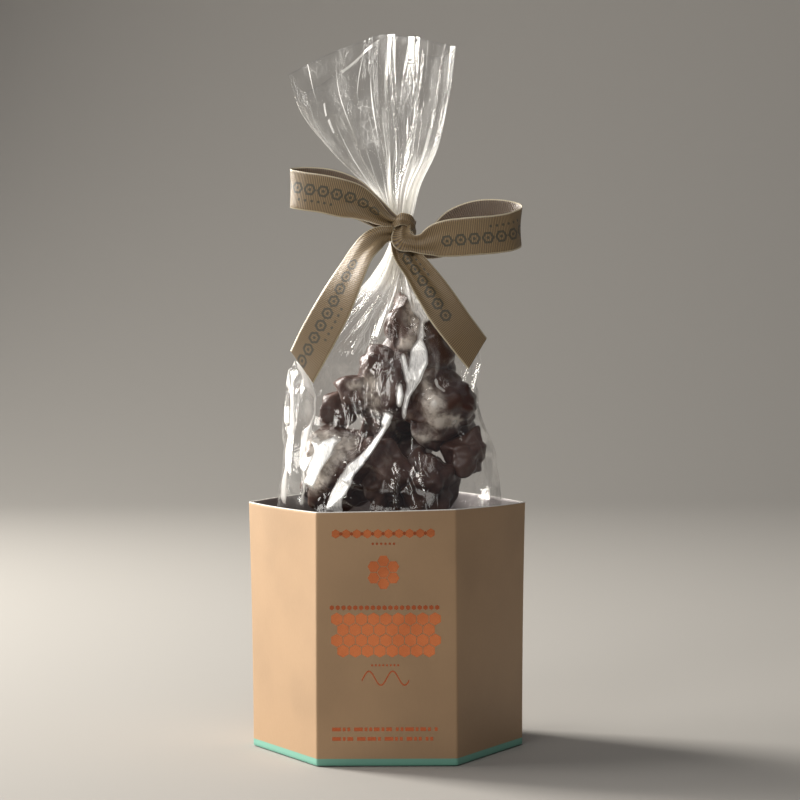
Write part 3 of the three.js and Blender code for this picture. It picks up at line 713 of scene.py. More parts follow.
def chocolate_finish():
    """Milk chocolate coat: satin gloss, dull paler bloom in patches, and, where the mesh's amount says so,
    painted highlights, partly pale bloom: pale, and film white where they are strongest."""
    f = Finish("milk_chocolate")
    place = f.place()
    patch = f.noise(place, 55, 4, 0.55).step(0.42, 0.68)
    speck = f.noise(place, 420, 4, 0.65)
    mottle = f.noise(place, 260, 6, 0.65).step(0.32, 0.68)
    bloom = (patch * 0.22 + speck.step(0.5, 0.8) * 0.12).clamp()
    # Painted highlights where light glares through the film, partly pale bloom, film white where strongest
    bloom_and_glare = (f.amount() * (mottle * 0.95 + 0.55)).step(0.12, 0.95)
    coat = f.blend(linear(CHOCOLATE), linear(CHOCOLATE_BLOOM), bloom)
    pale = f.blend(linear(CHOCOLATE_PALE_GLARE), linear(FILM_WHITE), f.amount().step(0.9, 1.3))
    return f.surface(
        Base_Color=f.blend(coat, pale, bloom_and_glare),
        Roughness=patch * 0.12 + speck * 0.1 + 0.3,
        Coat_Weight=0.2, Coat_Roughness=0.25,
        Normal=f.bump(speck * 0.4 + f.noise(place, 160), 0.00022),
    )


def film_finish():
    """Clear film. It mirrors 0.08 of the light and 0.9 facing^4 more as it turns edge on. Where the mesh's
    amount says that it is densely gathered, light shines through it white, and where it carries painted glare
    it is lit like paper, in streaks, and mirrors more, as a painted highlight. A painted veil of white haze,
    drawn as scuffs and scratches, stands in for reflections and scattered light in places, most of it on the
    flare, and the mouth's edge mirrors more as a painted glint. UV is length round the bag and height in mm."""
    f = Finish("clear_film")
    flat = f.flat()
    height = f.axes(flat)[1]
    # glare_share: where the mesh carries painted glare, the film turns white like paper, a painted highlight
    dense, glare_share = f.amount().step(1.6, 5.5), f.amount().step(7, 14)
    scuff = f.noise(f.stretched(flat, (1.1, 0.25, 1)), 1.0, 4, 0.6)
    crumple = f.cells(f.stretched(flat, (0.3, 0.12, 1))).step(0, 0.12)
    normal = f.bump((crumple * 0.5 + scuff * 0.4) * (1 - dense * 0.7), 0.00012)
    facing = f.node("ShaderNodeLayerWeight", {}, {"Blend": 0.5, "Normal": normal}, output="Facing")
    edge_on = facing ** 4
    milk = scuff.step(0.62, 0.8) * 0.04
    mouth = NECK_TOP + FLARE_LENGTH
    # Painted glint along the mouth's edge, where the film edge catches the light
    edge_glint = height.step(mouth - 0.7, mouth - 0.5) * 0.15
    white = linear(FILM_WHITE)
    gloss = f.principled(
        Base_Color=white, Metallic=1.0, Normal=normal,
        Roughness=(scuff.step(0.5, 0.85) * 0.25 + 0.06 + dense * 0.2).clamp(),
        Alpha=(edge_on * 0.9 + 0.08 + glare_share * 0.5 + milk + edge_glint).clamp(),
    )
    shine = f.node("ShaderNodeBsdfTranslucent", {}, {"Color": white, "Normal": normal})
    paper = f.node("ShaderNodeBsdfDiffuse", {}, {"Color": white, "Normal": normal})
    glow = f.node("ShaderNodeMixShader", {}, {0: glare_share * 0.8 + 0.2, 1: shine, 2: paper})
    # Painted veil of white haze, standing in for reflections and scattered light, drawn as scuffs and
    # scratches
    patches = f.noise(f.stretched(flat, (0.05, 0.035, 1)), 1.0, 2).step(0.45, 0.7)
    veil_patches = patches * (height.step(NECK_TOP, NECK_TOP + 23) * 0.75 + 0.25)
    scratch = 1 - f.cells(f.stretched(flat, (0.35, 0.2, 1))).step(0, 0.06)
    veil = veil_patches * (scuff.step(0.4, 0.8) * 0.3 + scratch * 0.25 + 0.06)
    streak = f.noise(f.stretched(flat, (2.2, 0.35, 1)), 1.0).step(0.35, 0.65)
    lit = dense * (1 - glare_share) * 0.88 + glare_share * (streak * 0.45 + 0.45)
    share = (lit + edge_on * 0.2 + veil).clamp()
    return f.show(f.node("ShaderNodeMixShader", {}, {0: share, 1: gloss, 2: glow}))


def stage_finish():
    """Matt grey paper with a fine tooth."""
    f = Finish("stage_paper")
    return f.surface(Base_Color=linear(STAGE), Roughness=0.9, Normal=f.bump(f.noise(f.place(), 400), 0.00005))


# Camera, stage and lights

def add_camera():
    """The camera, turned by its yaw, then its pitch from level, then its roll."""
    camera = link("camera", bpy.data.cameras.new("camera"))
    camera.data.lens = CAMERA_LENS
    camera.data.clip_start, camera.data.clip_end = 0.05, 20
    turn = (
        Matrix.Rotation(-CAMERA_YAW, 4, "Z")
        @ Matrix.Rotation(math.pi / 2 - CAMERA_PITCH, 4, "X")
        @ Matrix.Rotation(-CAMERA_ROLL, 4, "Z")
    )
    camera.matrix_world = Matrix.Translation(CAMERA_AT) @ turn
    bpy.context.scene.camera = camera


def add_stage():
    """Paper sweep: a flat floor, a quarter circle and an upright wall, as one profile carried along X."""
    front, back, radius, top, reach = -2600, 1100, 600, 3000, 3000
    turn = np.linspace(0, math.pi / 2, 24)
    y = np.concatenate([[front], back + radius * np.sin(turn), [back + radius]])
    z = np.concatenate([[0], radius - radius * np.cos(turn), [top]])
    x = np.array([-reach, reach])
    points = np.stack(np.broadcast_arrays(x[None, :], y[:, None], z[:, None]), axis=-1)
    make_mesh("stage_sweep", points.reshape(-1, 3), [grid(len(y), 2)], [stage_finish()])


def add_light(name, at, aim, size, power, colour):
    """A rectangular area light at a place in metres, turned to face the point aim."""
    light = bpy.data.lights.new(name, "AREA")
    light.shape = "RECTANGLE"
    light.size, light.size_y = size
    light.energy = power
    light.color = colour
    made = link(name, light)
    made.location = at
    made.rotation_mode = "QUATERNION"
    made.rotation_quaternion = (Vector(aim) - Vector(at)).to_track_quat("-Z", "Y")


def add_lights():
    """The lights, a dim studio round them, and enough bounces for light to pass the bag's many folds."""
    for light in LIGHTS:
        add_light(*light)
    world = bpy.data.worlds.new("studio")
    world.use_nodes = True
    shade = world.node_tree.nodes["Background"]
    shade.inputs["Color"].default_value = STUDIO_COLOUR
    shade.inputs["Strength"].default_value = STUDIO_STRENGTH
    scene = bpy.context.scene
    scene.world = world
    scene.view_settings.view_transform = "Standard"
    scene.cycles.transparent_max_bounces = 48
    scene.cycles.max_bounces = 10


# Carton

def carton_point(u, z, inset):
    """A point of the carton's wall. u runs round it from the left corner by way of the front. Corners lean in
    or out with the square of the height, and each panel's middle bows out by a sine of its width."""
    share = np.clip(z / CARTON_HEIGHT, 0, 1)
    panel = np.floor(u * 6 + 1e-9)
    f = u * 6 - panel

    def corner(k):
        angle = math.pi + k * math.pi / 3
        spread = np.where(k % 3 == 0, RIM_SPREAD, -RIM_SPREAD / 2)
        r = SIDE * (1 - inset / APOTHEM) + spread * share**2
        return np.stack(np.broadcast_arrays(r * np.cos(angle), r * np.sin(angle)), axis=-1)

    a, b = corner(panel), corner(panel + 1)
    out = unit(np.stack([b[..., 1] - a[..., 1], a[..., 0] - b[..., 0]], axis=-1))
    bow = RIM_BULGE * share**2 + PANEL_WAVER * np.sin(z / 13 + 2.3 * panel)
    flat = a + (b - a) * f[..., None] + out * (bow * np.sin(math.pi * f))[..., None]
    tilt = np.array(RIM_TILT)
    tilt = mix(tilt[panel.astype(int) % 6], tilt[(panel.astype(int) + 1) % 6], f)
    height = np.broadcast_to(z + tilt * share**12, flat.shape[:-1])
    return np.concatenate([flat, height[..., None]], axis=-1)


def carton_board():
    """The carton as one closed surface: from the middle of its underside out to the wall, up, over the
    rounded rim, down inside and back to the middle of its floor. Beside each fold the wall is inset by a
    parabola that rounds it."""
    near = np.array(FOLD_COLUMNS)
    columns = np.concatenate([near, np.linspace(4, 50, 18), SIDE - near[:0:-1]]) / SIDE
    u = (np.arange(6)[:, None] + columns[None, :]).ravel() / 6
    off = np.minimum(columns, 1 - columns) * SIDE
    tangent = FOLD_RADIUS * math.tan(math.pi / 6)
    sagitta = FOLD_RADIUS * (1 / math.cos(math.pi / 6) - 1)
    rounding = np.tile(sagitta * np.clip(1 - off / tangent, 0, 1) ** 2, 6)
    outside = FOOT_PROFILE + [(z, 0) for z in np.linspace(WALL_LOW, WALL_HIGH, 34)]
    inside = [(z, BOARD) for z in np.linspace(WALL_HIGH, CARTON_FLOOR, 24)]
    profile = np.array(outside + RIM_PROFILE + inside)
    z = np.broadcast_to(profile[:, :1], (len(profile), len(u)))
    wall = carton_point(np.broadcast_to(u, z.shape), z, profile[:, 1:] + rounding[None, :])
    # Underside: straight folds run from each corner to a small turned hexagon, and each flap climbs over the
    # next one.
    hub_angle = math.pi + u * TURN + FLAP_TURN
    hub = FLAP_HUB * np.stack([np.cos(hub_angle), np.sin(hub_angle)], axis=-1)
    under = mix(hub[None], wall[0][None, :, :2], np.array([0, 0.2, 0.4, 0.6, 0.8, 0.96])[:, None, None])
    climb = np.broadcast_to(FLAP_STEP * np.tile(columns, 6)[None, :, None], (*under.shape[:2], 1))
    under = np.concatenate([under, climb], axis=-1)
    floor = wall[-1][None] * np.array([0.66, 0.33])[:, None, None]
    floor[..., 2] = CARTON_FLOOR
    rings = np.concatenate([under, wall, floor])
    rows, n = rings.shape[:2]
    points = np.concatenate([rings.reshape(-1, 3), [[0, 0, FLAP_STEP / 2], [0, 0, CARTON_FLOOR]]])
    first, last = np.arange(n), (rows - 1) * n + np.arange(n)
    below = fan(rows * n, np.roll(first, -1), first)
    above = fan(rows * n + 1, last, np.roll(last, -1))
    outer, edge, lining = 0, 1, 2
    rim_start = len(under) + len(outside)
    rim_end = rim_start + len(RIM_PROFILE) - 1
    row_slots = np.full(rows - 1, outer)
    row_slots[rim_start:rim_end] = edge
    row_slots[rim_end:] = lining
    slots = np.concatenate([np.repeat(row_slots, n), np.full(n, outer), np.full(n, lining)])
    return make_mesh(
        "carton_board", points, [grid(rows, n, wrap=True), below, above],
        [kraft_finish(), core_finish(), lining_finish()], slots=slots, crease=40,
    )


def plates(outlines):
    """Thin plates on the front panel from convex outlines of x and z, each a fan round its middle with a
    skirt that sinks just into the board. All outlines have equally many points. Returns points, triangles,
    quads, and 1 for each point of a heavy plate or 0 for a light one."""
    outlines = np.array(outlines)
    count, n = outlines.shape[:2]
    middle = outlines.mean(axis=1, keepdims=True)
    flat = np.concatenate([middle, outlines, outlines], axis=1)
    u = 1 / 6 + (flat[..., 0] / SIDE + 0.5) / 6
    on_board = carton_point(u, flat[..., 1], np.zeros_like(u))
    on_board[..., 1] -= np.concatenate([np.full(n + 1, FOIL_RISE), np.full(n, -FOIL_SINK)])[None, :]
    base = np.arange(count)[:, None, None] * (2 * n + 1)
    i = np.arange(n)
    k = (i + 1) % n
    top = base + fan(0, 1 + i, 1 + k)[None]
    skirt = base + np.stack([1 + n + i, 1 + n + k, 1 + k, 1 + i], axis=-1)[None]
    heavy = np.repeat(np.ptp(outlines[..., 1], axis=1) > HEAVY, 2 * n + 1)
    return on_board.reshape(-1, 3), top.reshape(-1, 3), skirt.reshape(-1, 4), heavy


def hexagon(x, z, radius, turn=math.pi / 6):
    """A hexagon, counter-clockwise as seen from the front, and upright unless turn is 0."""
    angle = turn + TURN * np.arange(6) / 6
    return np.stack([x + radius * np.cos(angle), z + radius * np.sin(angle)], axis=-1)


def bar(left, z, length):
    """A dash of a dashed line."""
    half = DASHED_LINES["thick"] / 2
    right = left + length
    return [(left, z - half), (right, z - half), (right, z + half), (left, z + half)]


def wavy_line():
    """A sine as a row of short plates. To either side it is as thick as thin + swell |cos|, so that it is
    thickest where it is steepest."""
    x = np.linspace(WAVE["left"], WAVE["right"], WAVE_PLATES + 1)
    z = WAVE["z"] + WAVE["rise"] * np.sin(WAVE["rate"] * x)
    half = WAVE["thin"] + WAVE["swell"] * np.abs(np.cos(WAVE["rate"] * x))
    below, above = np.stack([x, z - half], axis=-1), np.stack([x, z + half], axis=-1)
    return list(np.stack([below[:-1], below[1:], above[1:], above[:-1]], axis=1))


def foil_print():
    """Generic copper decoration: rows of small hexagons and dots, a seven-cell honeycomb, a deep band of
    hexagons, a wavy line, and two dashed lines."""
    cells = []
    for z, first, last, count, radius in HEXAGON_ROWS:
        cells += [hexagon(x, z, radius) for x in np.linspace(first, last, count)]
    x, z, pitch = HONEYCOMB["x"], HONEYCOMB["z"], HONEYCOMB["pitch"]
    cells.append(hexagon(x, z, HONEYCOMB["cell"], 0))
    for k in range(6):
        angle = math.pi / 6 + k * math.pi / 3
        cells.append(hexagon(x + pitch * math.cos(angle), z + pitch * math.sin(angle), HONEYCOMB["cell"], 0))
    pitch = DEEP_BAND["pitch"]
    for row in range(DEEP_BAND["rows"]):
        odd = row % 2
        xs = DEEP_BAND["x"] + pitch * (np.arange(DEEP_BAND["columns"] - odd) + odd / 2)
        cells += [hexagon(x, DEEP_BAND["z"] - row * pitch * SIN_60, DEEP_BAND["cell"]) for x in xs]
    bars = wavy_line()
    random = np.random.default_rng(3)
    for z in DASHED_LINES["heights"]:
        x = DASHED_LINES["left"]
        while x < DASHED_LINES["last"]:
            length = min(random.choice(DASHES), DASHED_LINES["right"] - x)
            bars.append(bar(x, z, length))
            x += length + random.choice(GAPS)
    (points, *faces, heavy), (bar_points, *bar_faces, bar_heavy) = plates(cells), plates(bars)
    faces += [f + len(points) for f in bar_faces]
    return make_mesh(
        "foil_print", np.concatenate([points, bar_points]), faces, [foil_finish()], crease=30,
        amount=np.concatenate([heavy, bar_heavy]),
    )


# Toffee

def unit_ball(n):
    """A sphere from the six faces of a cube of n by n squares, each point pushed out to length 1."""
    t = np.tan(np.linspace(-math.pi / 4, math.pi / 4, n + 1))
    a, b = np.meshgrid(t, t, indexing="ij")
    one = np.ones_like(a)
    sides = [(one, a, b), (-one, b, a), (b, one, a), (a, -one, b), (a, b, one), (b, a, -one)]
    points = unit(np.concatenate([np.stack(s, axis=-1).reshape(-1, 3) for s in sides]))
    faces = np.concatenate([grid(n + 1, n + 1) + k * (n + 1) ** 2 for k in range(6)])
    _, first, same = np.unique(np.round(points, 5), axis=0, return_index=True, return_inverse=True)
    return points[first], same.ravel()[faces]


def lump(ball, centre, half, lean, seed):
    """One broken chunk in its chocolate coat. Its radius is that of a polyhedron of scattered planes with
    soft edges, (sum max(d.n/a, 0)^p)^(-1/p), scaled to its half sizes, then raised and sunk by ripples and
    pits."""
    random = np.random.default_rng(seed)
    k = np.arange(BROKEN_FACES) + 0.5
    tilt, turn = np.arccos(1 - 2 * k / BROKEN_FACES), math.pi * (1 + 5**0.5) * k + random.uniform(0, 6)
    planes = np.stack([np.cos(turn) * np.sin(tilt), np.sin(turn) * np.sin(tilt), np.cos(tilt)], axis=-1)
    planes = unit(planes + random.normal(0, 0.22, planes.shape))
    reach = random.uniform(0.74, 1.08, BROKEN_FACES)
    radius = (np.maximum(ball @ planes.T / reach, 0) ** FACE_EDGE).sum(axis=1) ** (-1 / FACE_EDGE)
    shape = ball * radius[:, None]
    low, high = shape.min(axis=0), shape.max(axis=0)
    shape = (2 * (shape - low) / (high - low) - 1) * half
    size = float(np.mean(half)) / 12
    shape += ball * ripples(shape, seed, [(17 * size, 1.2 * size), (8, 0.75), (4.5, 0.28)])[:, None]
    for _ in range(PITS):
        spot, wide = ball[random.integers(len(ball))], random.uniform(0.05, 0.13)
        near = np.exp(-(((ball - spot) ** 2).sum(axis=1)) / (2 * wide**2))
        shape -= ball * (near * random.uniform(-0.5, 0.8) * size)[:, None]
    a = math.radians(lean)
    leaning = np.array([[math.cos(a), 0, math.sin(a)], [0, 1, 0], [-math.sin(a), 0, math.cos(a)]])
    return shape @ leaning.T + centre


def bloom_and_glare(points):
    """How pale the toffee is painted, as painted highlights where light glares through the film, partly pale
    bloom:
    each patch fades as exp(-d^2), d its distance in half sizes.
    """
    left = np.ones(len(points))
    for x, z, wide, high, strength in BLOOM_AND_GLARE_PATCHES:
        left *= 1 - strength * np.exp(-(((points[:, 0] - x) / wide) ** 2) - ((points[:, 2] - z) / high) ** 2)
    return (1 - left) * ramp(-6, 4, -points[:, 1])


def toffee(name, rows, fineness, material):
    """Chunks of toffee as one piece, each a ball of 6 by fineness^2 squares made a lump. Returns it and its
    points."""
    ball, faces = unit_ball(fineness)
    points = np.concatenate([lump(ball, row[:3], row[3:6], row[6], row[7]) for row in rows])
    faces = np.concatenate([faces + i * len(ball) for i in range(len(rows))])
    return make_mesh(name, points, [faces], [material], amount=bloom_and_glare(points)), points


def hidden_rows():
    """Layers of chunks inside the carton: one in the middle and six round it, each layer turned on the
    last."""
    rows = []
    for layer, (z, half) in enumerate(HIDDEN_LAYERS):
        random = np.random.default_rng(70 + layer)
        first_seed = 100 + 10 * layer
        rows.append((0, 0, z + random.uniform(-1, 1), 13, 13, half, 0, first_seed))
        for k in range(6):
            angle = k * math.pi / 3 + 0.5 * layer
            r = HIDDEN_RING + random.uniform(-1, 0.5)
            at = (r * math.cos(angle), r * math.sin(angle), z + random.uniform(-1, 1.5))
            wide, deep = random.uniform(12, 13.6, 2)
            rows.append((*at, wide, deep, half, random.uniform(-10, 10), first_seed + 1 + k))
    return rows


# Bag

def hexagon_radius(angle, squareness):
    """A hexagon with flats to the front and back and rounded corners, of half width 1: the lobes of its six
    sides, max(cos, 0)^squareness, added up and taken to the power -1/squareness. Squareness 2 is round."""
    def total(a):
        return sum(np.maximum(np.cos(a - math.pi / 2 - k * math.pi / 3), 0) ** squareness for k in range(6))

    return (total(angle) / total(np.zeros_like(angle))) ** (-1 / squareness)


def bulge(angle, z):
    """Soft bulges over what is in the bag: sines round it whose phase turns with the height, none at its left
    and right edges, below the rim or at the neck."""
    here = ramp(96, 112, z) * (1 - ramp(160, 178, z)) * np.abs(np.sin(angle))
    return here * sum(h * np.sin(n * angle + twist * z + phase) for n, twist, phase, h in BULGES)


def section(z):
    """Centre x, half width, depth over width and squareness of the bag at heights z, as columns."""
    rows = table(BAG_PROFILE, z)
    return [rows[:, k][:, None] for k in range(1, 5)]


def toffee_envelope(points, z):
    """How far the toffee reaches from the bag's axis at each height and angle: the farthest of its points in
    each cell, spread to the cells around it and smoothed with a raised cosine."""
    x_mid, _, depth, _ = (v[:, 0] for v in section(points[:, 2]))
    dx, dy = points[:, 0] - x_mid, points[:, 1] / depth
    angle = np.mod(np.arctan2(dy, dx) - math.pi, TURN)
    column = np.floor(angle / TURN * FILM_COLUMNS).astype(int) % FILM_COLUMNS
    row = np.searchsorted(z, points[:, 2])
    inside = (row > 0) & (row < len(z))
    reach = np.zeros((len(z), FILM_COLUMNS))
    np.maximum.at(reach, (row[inside], column[inside]), np.hypot(dx, dy)[inside])

    def sideways(values):
        return [np.roll(values, k, axis=1) for k in range(-SMOOTH_COLUMNS, SMOOTH_COLUMNS + 1)]

    def upwards(values, **edge):
        padded = np.pad(values, ((SMOOTH_ROWS, SMOOTH_ROWS), (0, 0)), **edge)
        return [padded[k:k + len(values)] for k in range(2 * SMOOTH_ROWS + 1)]

    def smooth(layers):
        weights = np.hanning(len(layers) + 2)[1:-1]
        return sum(w * layer for w, layer in zip(weights / weights.sum(), layers))

    spread = np.max(upwards(np.max(sideways(reach), axis=0)), axis=0)
    return smooth(upwards(smooth(sideways(spread)), mode="edge"))


def ridge(x, z, slope, right, white, path):
    """A crease along a path of x, z and left width: slope times the left width high on the path, falling
    straight to nothing over either flank, and fading at the path's two ends. Returns the crease's height, and
    its painted haze, a white highlight painted over the left flank."""
    path = np.array(path, float)
    best = np.full(np.broadcast(x, z).shape, 1e9)
    signed, share, left = np.zeros_like(best), np.zeros_like(best), np.ones_like(best)
    lengths = np.linalg.norm(np.diff(path[:, :2], axis=0), axis=1)
    run = np.concatenate([[0], np.cumsum(lengths)])
    for i, length in enumerate(lengths):
        (ax, az, a_left), (bx, bz, b_left) = path[i], path[i + 1]
        t = np.clip(((x - ax) * (bx - ax) + (z - az) * (bz - az)) / length**2, 0, 1)
        dx, dz = x - (ax + t * (bx - ax)), z - (az + t * (bz - az))
        distance = np.hypot(dx, dz)
        right_side = (dx * (bz - az) - dz * (bx - ax)) * (1 if bz > az else -1) > 0
        closer = distance < best
        best = np.where(closer, distance, best)
        signed = np.where(closer, np.where(right_side, distance, -distance), signed)
        share = np.where(closer, (run[i] + t * length) / run[-1], share)
        left = np.where(closer, mix(a_left, b_left, t), left)
    fade = ramp(0, 0.08, share + 0.02) * ramp(0, 0.08, 1.02 - share)
    shape = slope * left * np.clip(np.where(signed > 0, 1 - signed / right, 1 + signed / left), 0, 1)
    painted_haze = white * np.clip(np.minimum(1 - signed / 0.7, (signed + left) / 0.9), 0, 1)
    return shape * fade, painted_haze * fade


def crest(s, count, seed):
    """Uneven pleats round the bag: straight flanks from valleys near 0 to crests near 1, the steps between
    them of random width."""
    random = np.random.default_rng(seed)
    steps = np.cumsum(random.uniform(0.35, 1.65, 2 * count))
    crests, valleys = random.uniform(0.6, 1, 2 * count), random.uniform(0, 0.2, 2 * count)
    heights = np.where(np.arange(2 * count) % 2, crests, valleys)
    return np.interp(s, steps / steps[-1], heights, period=1)


def film_body(toffee_points):
    """The bag up to the top of its neck: at each height and angle, the bag's outline less its pleats and
    folds, but never inside the toffee. Creases and crumpling are added outwards, a little way past the
    outline at the front. Returns heights, points and painted haze, the white highlights painted on the front."""
    z = np.concatenate([ROWS_BELOW, np.arange(96, NECK_TOP + 0.01, FILM_ROW)])
    z[-1] = NECK_TOP
    s = np.arange(FILM_COLUMNS) / FILM_COLUMNS
    angle = np.broadcast_to(math.pi + TURN * s, (len(z), FILM_COLUMNS))
    cos, sin = np.cos(angle), np.sin(angle)
    shown = sin < 0
    x_mid, half, depth, square = section(z)
    up = z[:, None]
    outline = half * hexagon_radius(angle, np.broadcast_to(square, angle.shape)) + bulge(angle, up)
    x = x_mid + outline * cos
    pleats = table(PLEAT_DEPTH, z)[:, 1:] * (1 - crest(s, NECK_PLEATS, 5))
    broad = table(BROAD_DEPTH, z)[:, 1:] * (1 - crest(s, BROAD_FOLDS, 8))
    free = ramp(*FREE_FROM, up) * (1 - ramp(*FREE_TO, up))
    inner = outline - pleats - broad - FRONT_PULL * free * sin ** 4
    held_out = toffee_envelope(toffee_points, z) + FILM_GAP
    ridges = [ridge(x, up, *row) for row in CREASES]
    creases = sum(height for height, _ in ridges) * shown
    # Painted haze: the creases' white left flanks and the glare spots, standing in for highlights
    painted_haze = sum(white for _, white in ridges)
    for spot_x, spot_z, wide, high, strength in GLARE_SPOTS:
        painted_haze = painted_haze + strength * np.exp(-(((x - spot_x) / wide) ** 2) - ((up - spot_z) / high) ** 2)
    rumple = crumpled(s[None, :], up, 0.35 * np.sin(up / 9 + 5 * angle), BODY_CRUMPLE)
    rumple = rumple * (1 + 1.1 * ramp(20, 32, -x) * ramp(0.25, 0.6, -sin))
    fine = (crest(s, 70, 9) * (0.6 + 0.4 * np.sin(up / 7 + 9 * angle)) - 0.5) * ramp(160, 175, up)
    raised = (rumple * free + creases) * ramp(*CREASED_FROM, up) * (1 - ramp(*CREASED_TO, up))
    skin = np.maximum(inner, held_out) + raised + 1.3 * fine * free
    proud = outline + 0.6 + 3.4 * sin ** 4 * free * shown
    skin = np.maximum(np.minimum(skin, proud), np.minimum(held_out, outline))
    skin = np.where(up < 99, np.minimum(skin, outline), skin)
    points = np.stack([x_mid + skin * cos, depth * skin * sin, np.broadcast_to(up, skin.shape)], axis=-1)
    return z, points, painted_haze * shown


def film_flare(neck):
    """The film above the tie. Each thread of it runs from its place on the neck to its place on the mouth,
    bows as a parabola with the creases beside it, and bows out with the flare's left and right edges. Returns
    the rows' shares of the way to the mouth, and points."""
    t = np.linspace(0, 1, FLARE_ROWS)
    s = np.arange(FILM_COLUMNS) / FILM_COLUMNS
    front = s < 0.5
    from_left = np.where(front, 2 * s, 2 - 2 * s)

    def panels(k):
        front_side, back_side = (
            np.interp(from_left, [row[0] for row in rows], [row[k] for row in rows])
            for rows in (FRONT_PANELS, BACK_PANELS)
        )
        return np.where(front, front_side, back_side)

    x, y, sideways, outwards = (panels(k) for k in (1, 2, 3, 4))
    share = (x - FLARE_LEFT[-1][0]) / (FLARE_RIGHT[-1][0] - FLARE_LEFT[-1][0])
    top = table(FLARE_TOP, x)[:, 1] - np.where(front, table(FRONT_DIP, share)[:, 1], 0)
    mouth = np.stack([x, y, top], axis=-1)
    left, right = (evenly([(a, 0, b) for a, b in edge], t)[0] for edge in (FLARE_LEFT, FLARE_RIGHT))
    left_bow = left - mix(left[0], left[-1], t[:, None])
    right_bow = right - mix(right[0], right[-1], t[:, None])
    bowed = mix(left_bow[:, None], right_bow[:, None], share[None, :, None])
    points = mix(neck[None], mouth[None], t[:, None, None]) + bowed
    half_way = 4 * t[:, None] * (1 - t[:, None])
    points[..., 0] += half_way * sideways
    points[..., 1] += half_way * outwards
    tall = t[:, None] * FLARE_LENGTH
    rumple = crumpled(s[None, :], tall, 0.3 * np.sin(tall / 11), FLARE_CRUMPLE)
    off_edges = ramp(0, 0.08, from_left) * ramp(0, 0.5, 1 - from_left)
    points[..., 1] += rumple * ramp(0.05, 0.6, t[:, None]) * off_edges[None, :]
    return t, points


def fold_lines(t):
    """Painted glints: white lines along the flare's creases, now fainter and now stronger on their way to the
    mouth. Columns of the back film are counted from the end."""
    lines = np.zeros((len(t), FILM_COLUMNS))
    for side, rows in ((1, FRONT_PANELS), (-1, BACK_PANELS)):
        for k, row in enumerate(rows[1:-1]):
            # Painted glints along each crease between the panels
            lines[:, side * round(row[0] * FILM_COLUMNS / 2)] += 3.2 + 2.6 * np.sin(9 * t + 2.4 * k + side)
    for share, half, low, high, strength in GLINTS:
        first, last = (round(place * FILM_COLUMNS / 2) for place in (share - half, share + half))
        lines[(t > low) & (t < high), first:last + 1] = strength
    return lines


def gathered(points):
    """How densely film is gathered: its length between columns some way to either side, over the straight
    distance between them, less 1. It counts half on the back, which lets more light in."""
    ends = np.roll(points, -GATHER_REACH, axis=1) - np.roll(points, GATHER_REACH, axis=1)
    chord = np.maximum(np.linalg.norm(ends, axis=-1), 0.5)
    dense = 2 * GATHER_REACH * FILM_GIRTH / FILM_COLUMNS / chord - 1
    s = np.arange(FILM_COLUMNS) / FILM_COLUMNS
    return np.minimum(dense, GATHER_LIMIT) * (1 - 0.5 * ramp(0, 0.5, np.sin(math.pi + TURN * s)))


def film_uv(heights):
    """Flat coordinates of each corner: length round the bag and height."""
    return flat_corners((np.arange(FILM_COLUMNS + 1) / FILM_COLUMNS * FILM_GIRTH)[None, :], heights[:, None])


def bag_film(toffee_points, material):
    """The filled bag up to the top of its neck, closed at its foot. Above the rim it is as dense as it is
    gathered, and carries the painted haze of its highlights. Returns it and its top row of points."""
    z, body, painted_haze = film_body(toffee_points)
    rows = len(z)
    points = np.concatenate([body.reshape(-1, 3), [[0, 0, z[0]]]])
    foot = np.arange(FILM_COLUMNS)
    close = fan(rows * FILM_COLUMNS, np.roll(foot, -1), foot)
    uv = np.concatenate([film_uv(z).reshape(-1, 2), np.zeros((close.size, 2))])
    amount = gathered(body) * ramp(96, 110, z)[:, None] + 2.5 * painted_haze * ramp(92, 97, z)[:, None]
    faces = [grid(rows, FILM_COLUMNS, wrap=True), close]
    return make_mesh("bag_film", points, faces, [material], uv=uv, amount=np.append(amount, 0)), body[-1]


def bag_flare(neck, material):
    """The film above the tie, dense near the neck and painted with white glints along its creases."""
    t, points = film_flare(neck)
    amount = gathered(points) * (1 - 0.9 * ramp(0.2, 0.7, t))[:, None] + fold_lines(t)
    return make_mesh(
        "bag_flare", points.reshape(-1, 3), [grid(len(t), FILM_COLUMNS, wrap=True)], [material],
        uv=film_uv(NECK_TOP + FLARE_LENGTH * t), amount=amount,
    )


# Ribbon

